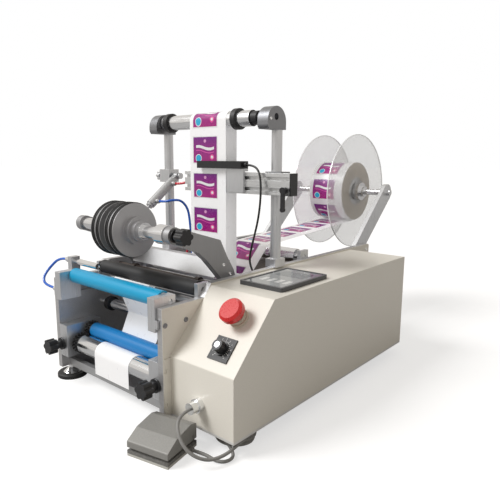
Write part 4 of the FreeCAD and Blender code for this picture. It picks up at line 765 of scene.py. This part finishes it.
# ---------------------------------------------------------------- dial scale and screws
def dial_scale():
    """Marks and numbers round the speed knob."""
    white = Paint("dial_white", (0.8, 0.8, 0.78), 0.4, 0.0, FINE, 0.05, 0.03).done()
    node = nodes_of_cad["dial_plate"]
    top = max(vertex.co.dot(SLOPE_NORMAL) for vertex in node.data.vertices)
    centre = Vector(centre_of("dial_plate"))
    centre += SLOPE_NORMAL * (top - centre.dot(SLOPE_NORMAL) + 0.00015)
    right = Vector((1, 0, 0))
    up = SLOPE_UP
    points = []
    faces = []
    for mark in range(21):
        angle = math.radians(90 + 140 - 14 * mark)
        out = right * math.cos(angle) + up * math.sin(angle)
        side = SLOPE_NORMAL.cross(out)
        inner = 0.0112
        outer = 0.0138 if mark % 2 == 0 else 0.0126
        half = 0.00035
        start = len(points)
        points += [centre + out * inner - side * half, centre + out * outer - side * half,
                   centre + out * outer + side * half, centre + out * inner + side * half]
        faces.append((start, start + 1, start + 2, start + 3))
    add_mesh("dial_marks", points, faces, white, "frame", smooth=False)
    for mark in range(11):
        angle = math.radians(90 + 140 - 28 * mark)
        out = right * math.cos(angle) + up * math.sin(angle)
        data = bpy.data.curves.new("dial_number_%d" % mark, "FONT")
        data.body = str(mark)
        data.size = 0.0033
        data.align_x = "CENTER"
        data.align_y = "CENTER"
        data.materials.append(white)
        number = bpy.data.objects.new("dial_number_%d" % mark, data)
        bpy.context.scene.collection.objects.link(number)
        number.matrix_world = Matrix.Translation(centre + out * 0.0162) @ Matrix(
            (right, up, SLOPE_NORMAL)).transposed().to_4x4()
        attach(number, "frame")


def on_right_face(node, y, z):
    """The outermost point of a CAD piece towards the right, at a place of the machine."""
    start = place(400, y, z)
    hit, spot, _, _ = nodes_of_cad[node].ray_cast(start, Vector((-1, 0, 0)))
    if not hit:
        raise ValueError("no face of " + node + " at %g, %g" % (y, z))
    return Vector(spot)


def screws():
    """Screw heads on the outer faces that look to the right."""
    outward = Vector((1, 0, 0))
    groups = (
        ("plate_screws", "side_plate_right", "frame", dark_silver, 4.2, 1.4, ((-8.5, 174), (34, 174))),
        ("reel_arm_bolts", "side_plate_right", "frame", bright, 3.4, 2.2, ((608, 196), (630, 210))),
        ("block_screws", "top_blocks", "frame", bright, 2.8, 1.8, ((237, 496),)),
        ("arm_bolts", "press_arms", "press_arm", bright, 3.2, 2.0, ((165, 222), (148, 241))),
    )
    for name, node, body, material, radius, height, spots in groups:
        heads = [screw(on_right_face(node, y, z), outward, radius, height) for y, z in spots]
        add_mesh(name, *joined(heads), material, body)


dial_scale()
screws()


# ---------------------------------------------------------------- floor, world and lights
def studio():
    """Pale floor, white surroundings, one soft sun and one softbox."""
    size = 30.0
    floor = add_mesh("floor", [(-size, -size, 0), (size, -size, 0), (size, size, 0), (-size, size, 0)],
                     [(0, 1, 2, 3)], bpy.data.materials.new("floor_white"), None, smooth=False)
    material = floor.data.materials[0]
    material.use_nodes = True
    tree = material.node_tree
    tree.nodes.clear()
    output = tree.nodes.new("ShaderNodeOutputMaterial")
    both = tree.nodes.new("ShaderNodeAddShader")
    diffuse = tree.nodes.new("ShaderNodeBsdfDiffuse")
    diffuse.inputs["Color"].default_value = (0.52, 0.515, 0.51, 1)
    glow = tree.nodes.new("ShaderNodeEmission")
    path = tree.nodes.new("ShaderNodeLightPath")
    scale = tree.nodes.new("ShaderNodeMath")
    scale.operation = "MULTIPLY"
    scale.inputs[1].default_value = 0.60
    tree.links.new(path.outputs["Is Camera Ray"], scale.inputs[0])
    tree.links.new(scale.outputs[0], glow.inputs["Strength"])
    tree.links.new(diffuse.outputs[0], both.inputs[0])
    tree.links.new(glow.outputs[0], both.inputs[1])
    tree.links.new(both.outputs[0], output.inputs["Surface"])

    world = bpy.data.worlds.new("studio")
    bpy.context.scene.world = world
    world.use_nodes = True
    tree = world.node_tree
    background = tree.nodes["Background"]
    path = tree.nodes.new("ShaderNodeLightPath")
    seen = tree.nodes.new("ShaderNodeMath")
    seen.operation = "MAXIMUM"
    tree.links.new(path.outputs["Is Camera Ray"], seen.inputs[0])
    tree.links.new(path.outputs["Is Transmission Ray"], seen.inputs[1])
    shine = tree.nodes.new("ShaderNodeMath")
    shine.operation = "MULTIPLY_ADD"
    shine.inputs[1].default_value = 0.40
    shine.inputs[2].default_value = 0.40
    tree.links.new(path.outputs["Is Glossy Ray"], shine.inputs[0])
    strength = tree.nodes.new("ShaderNodeMath")
    strength.operation = "MAXIMUM"
    tree.links.new(seen.outputs[0], strength.inputs[0])
    tree.links.new(shine.outputs[0], strength.inputs[1])
    tree.links.new(strength.outputs[0], background.inputs["Strength"])
    tint = tree.nodes.new("ShaderNodeMix")
    tint.data_type = "RGBA"
    tint.inputs[6].default_value = (1.0, 0.95, 0.88, 1)
    tint.inputs[7].default_value = (1, 1, 1, 1)
    tree.links.new(seen.outputs[0], tint.inputs[0])
    tree.links.new(tint.outputs[2], background.inputs["Color"])

    sun = bpy.data.lights.new("key", "SUN")
    sun.energy = 2.1
    sun.angle = math.radians(24)
    key = bpy.data.objects.new("key", sun)
    bpy.context.scene.collection.objects.link(key)
    key.rotation_euler = Vector((-0.45, -0.60, 0.78)).to_track_quat("Z", "Y").to_euler()
    soft = bpy.data.lights.new("softbox", "AREA")
    soft.energy = 7.0
    soft.size = 1.2
    fill = bpy.data.objects.new("softbox", soft)
    bpy.context.scene.collection.objects.link(fill)
    fill.location = (-1.0, -1.8, 1.6)
    fill.rotation_euler = (fill.location - Vector((0, -0.2, 0.2))).to_track_quat("Z", "Y").to_euler()


studio()
bpy.context.scene.view_settings.view_transform = "Standard"
bpy.context.view_layer.update()
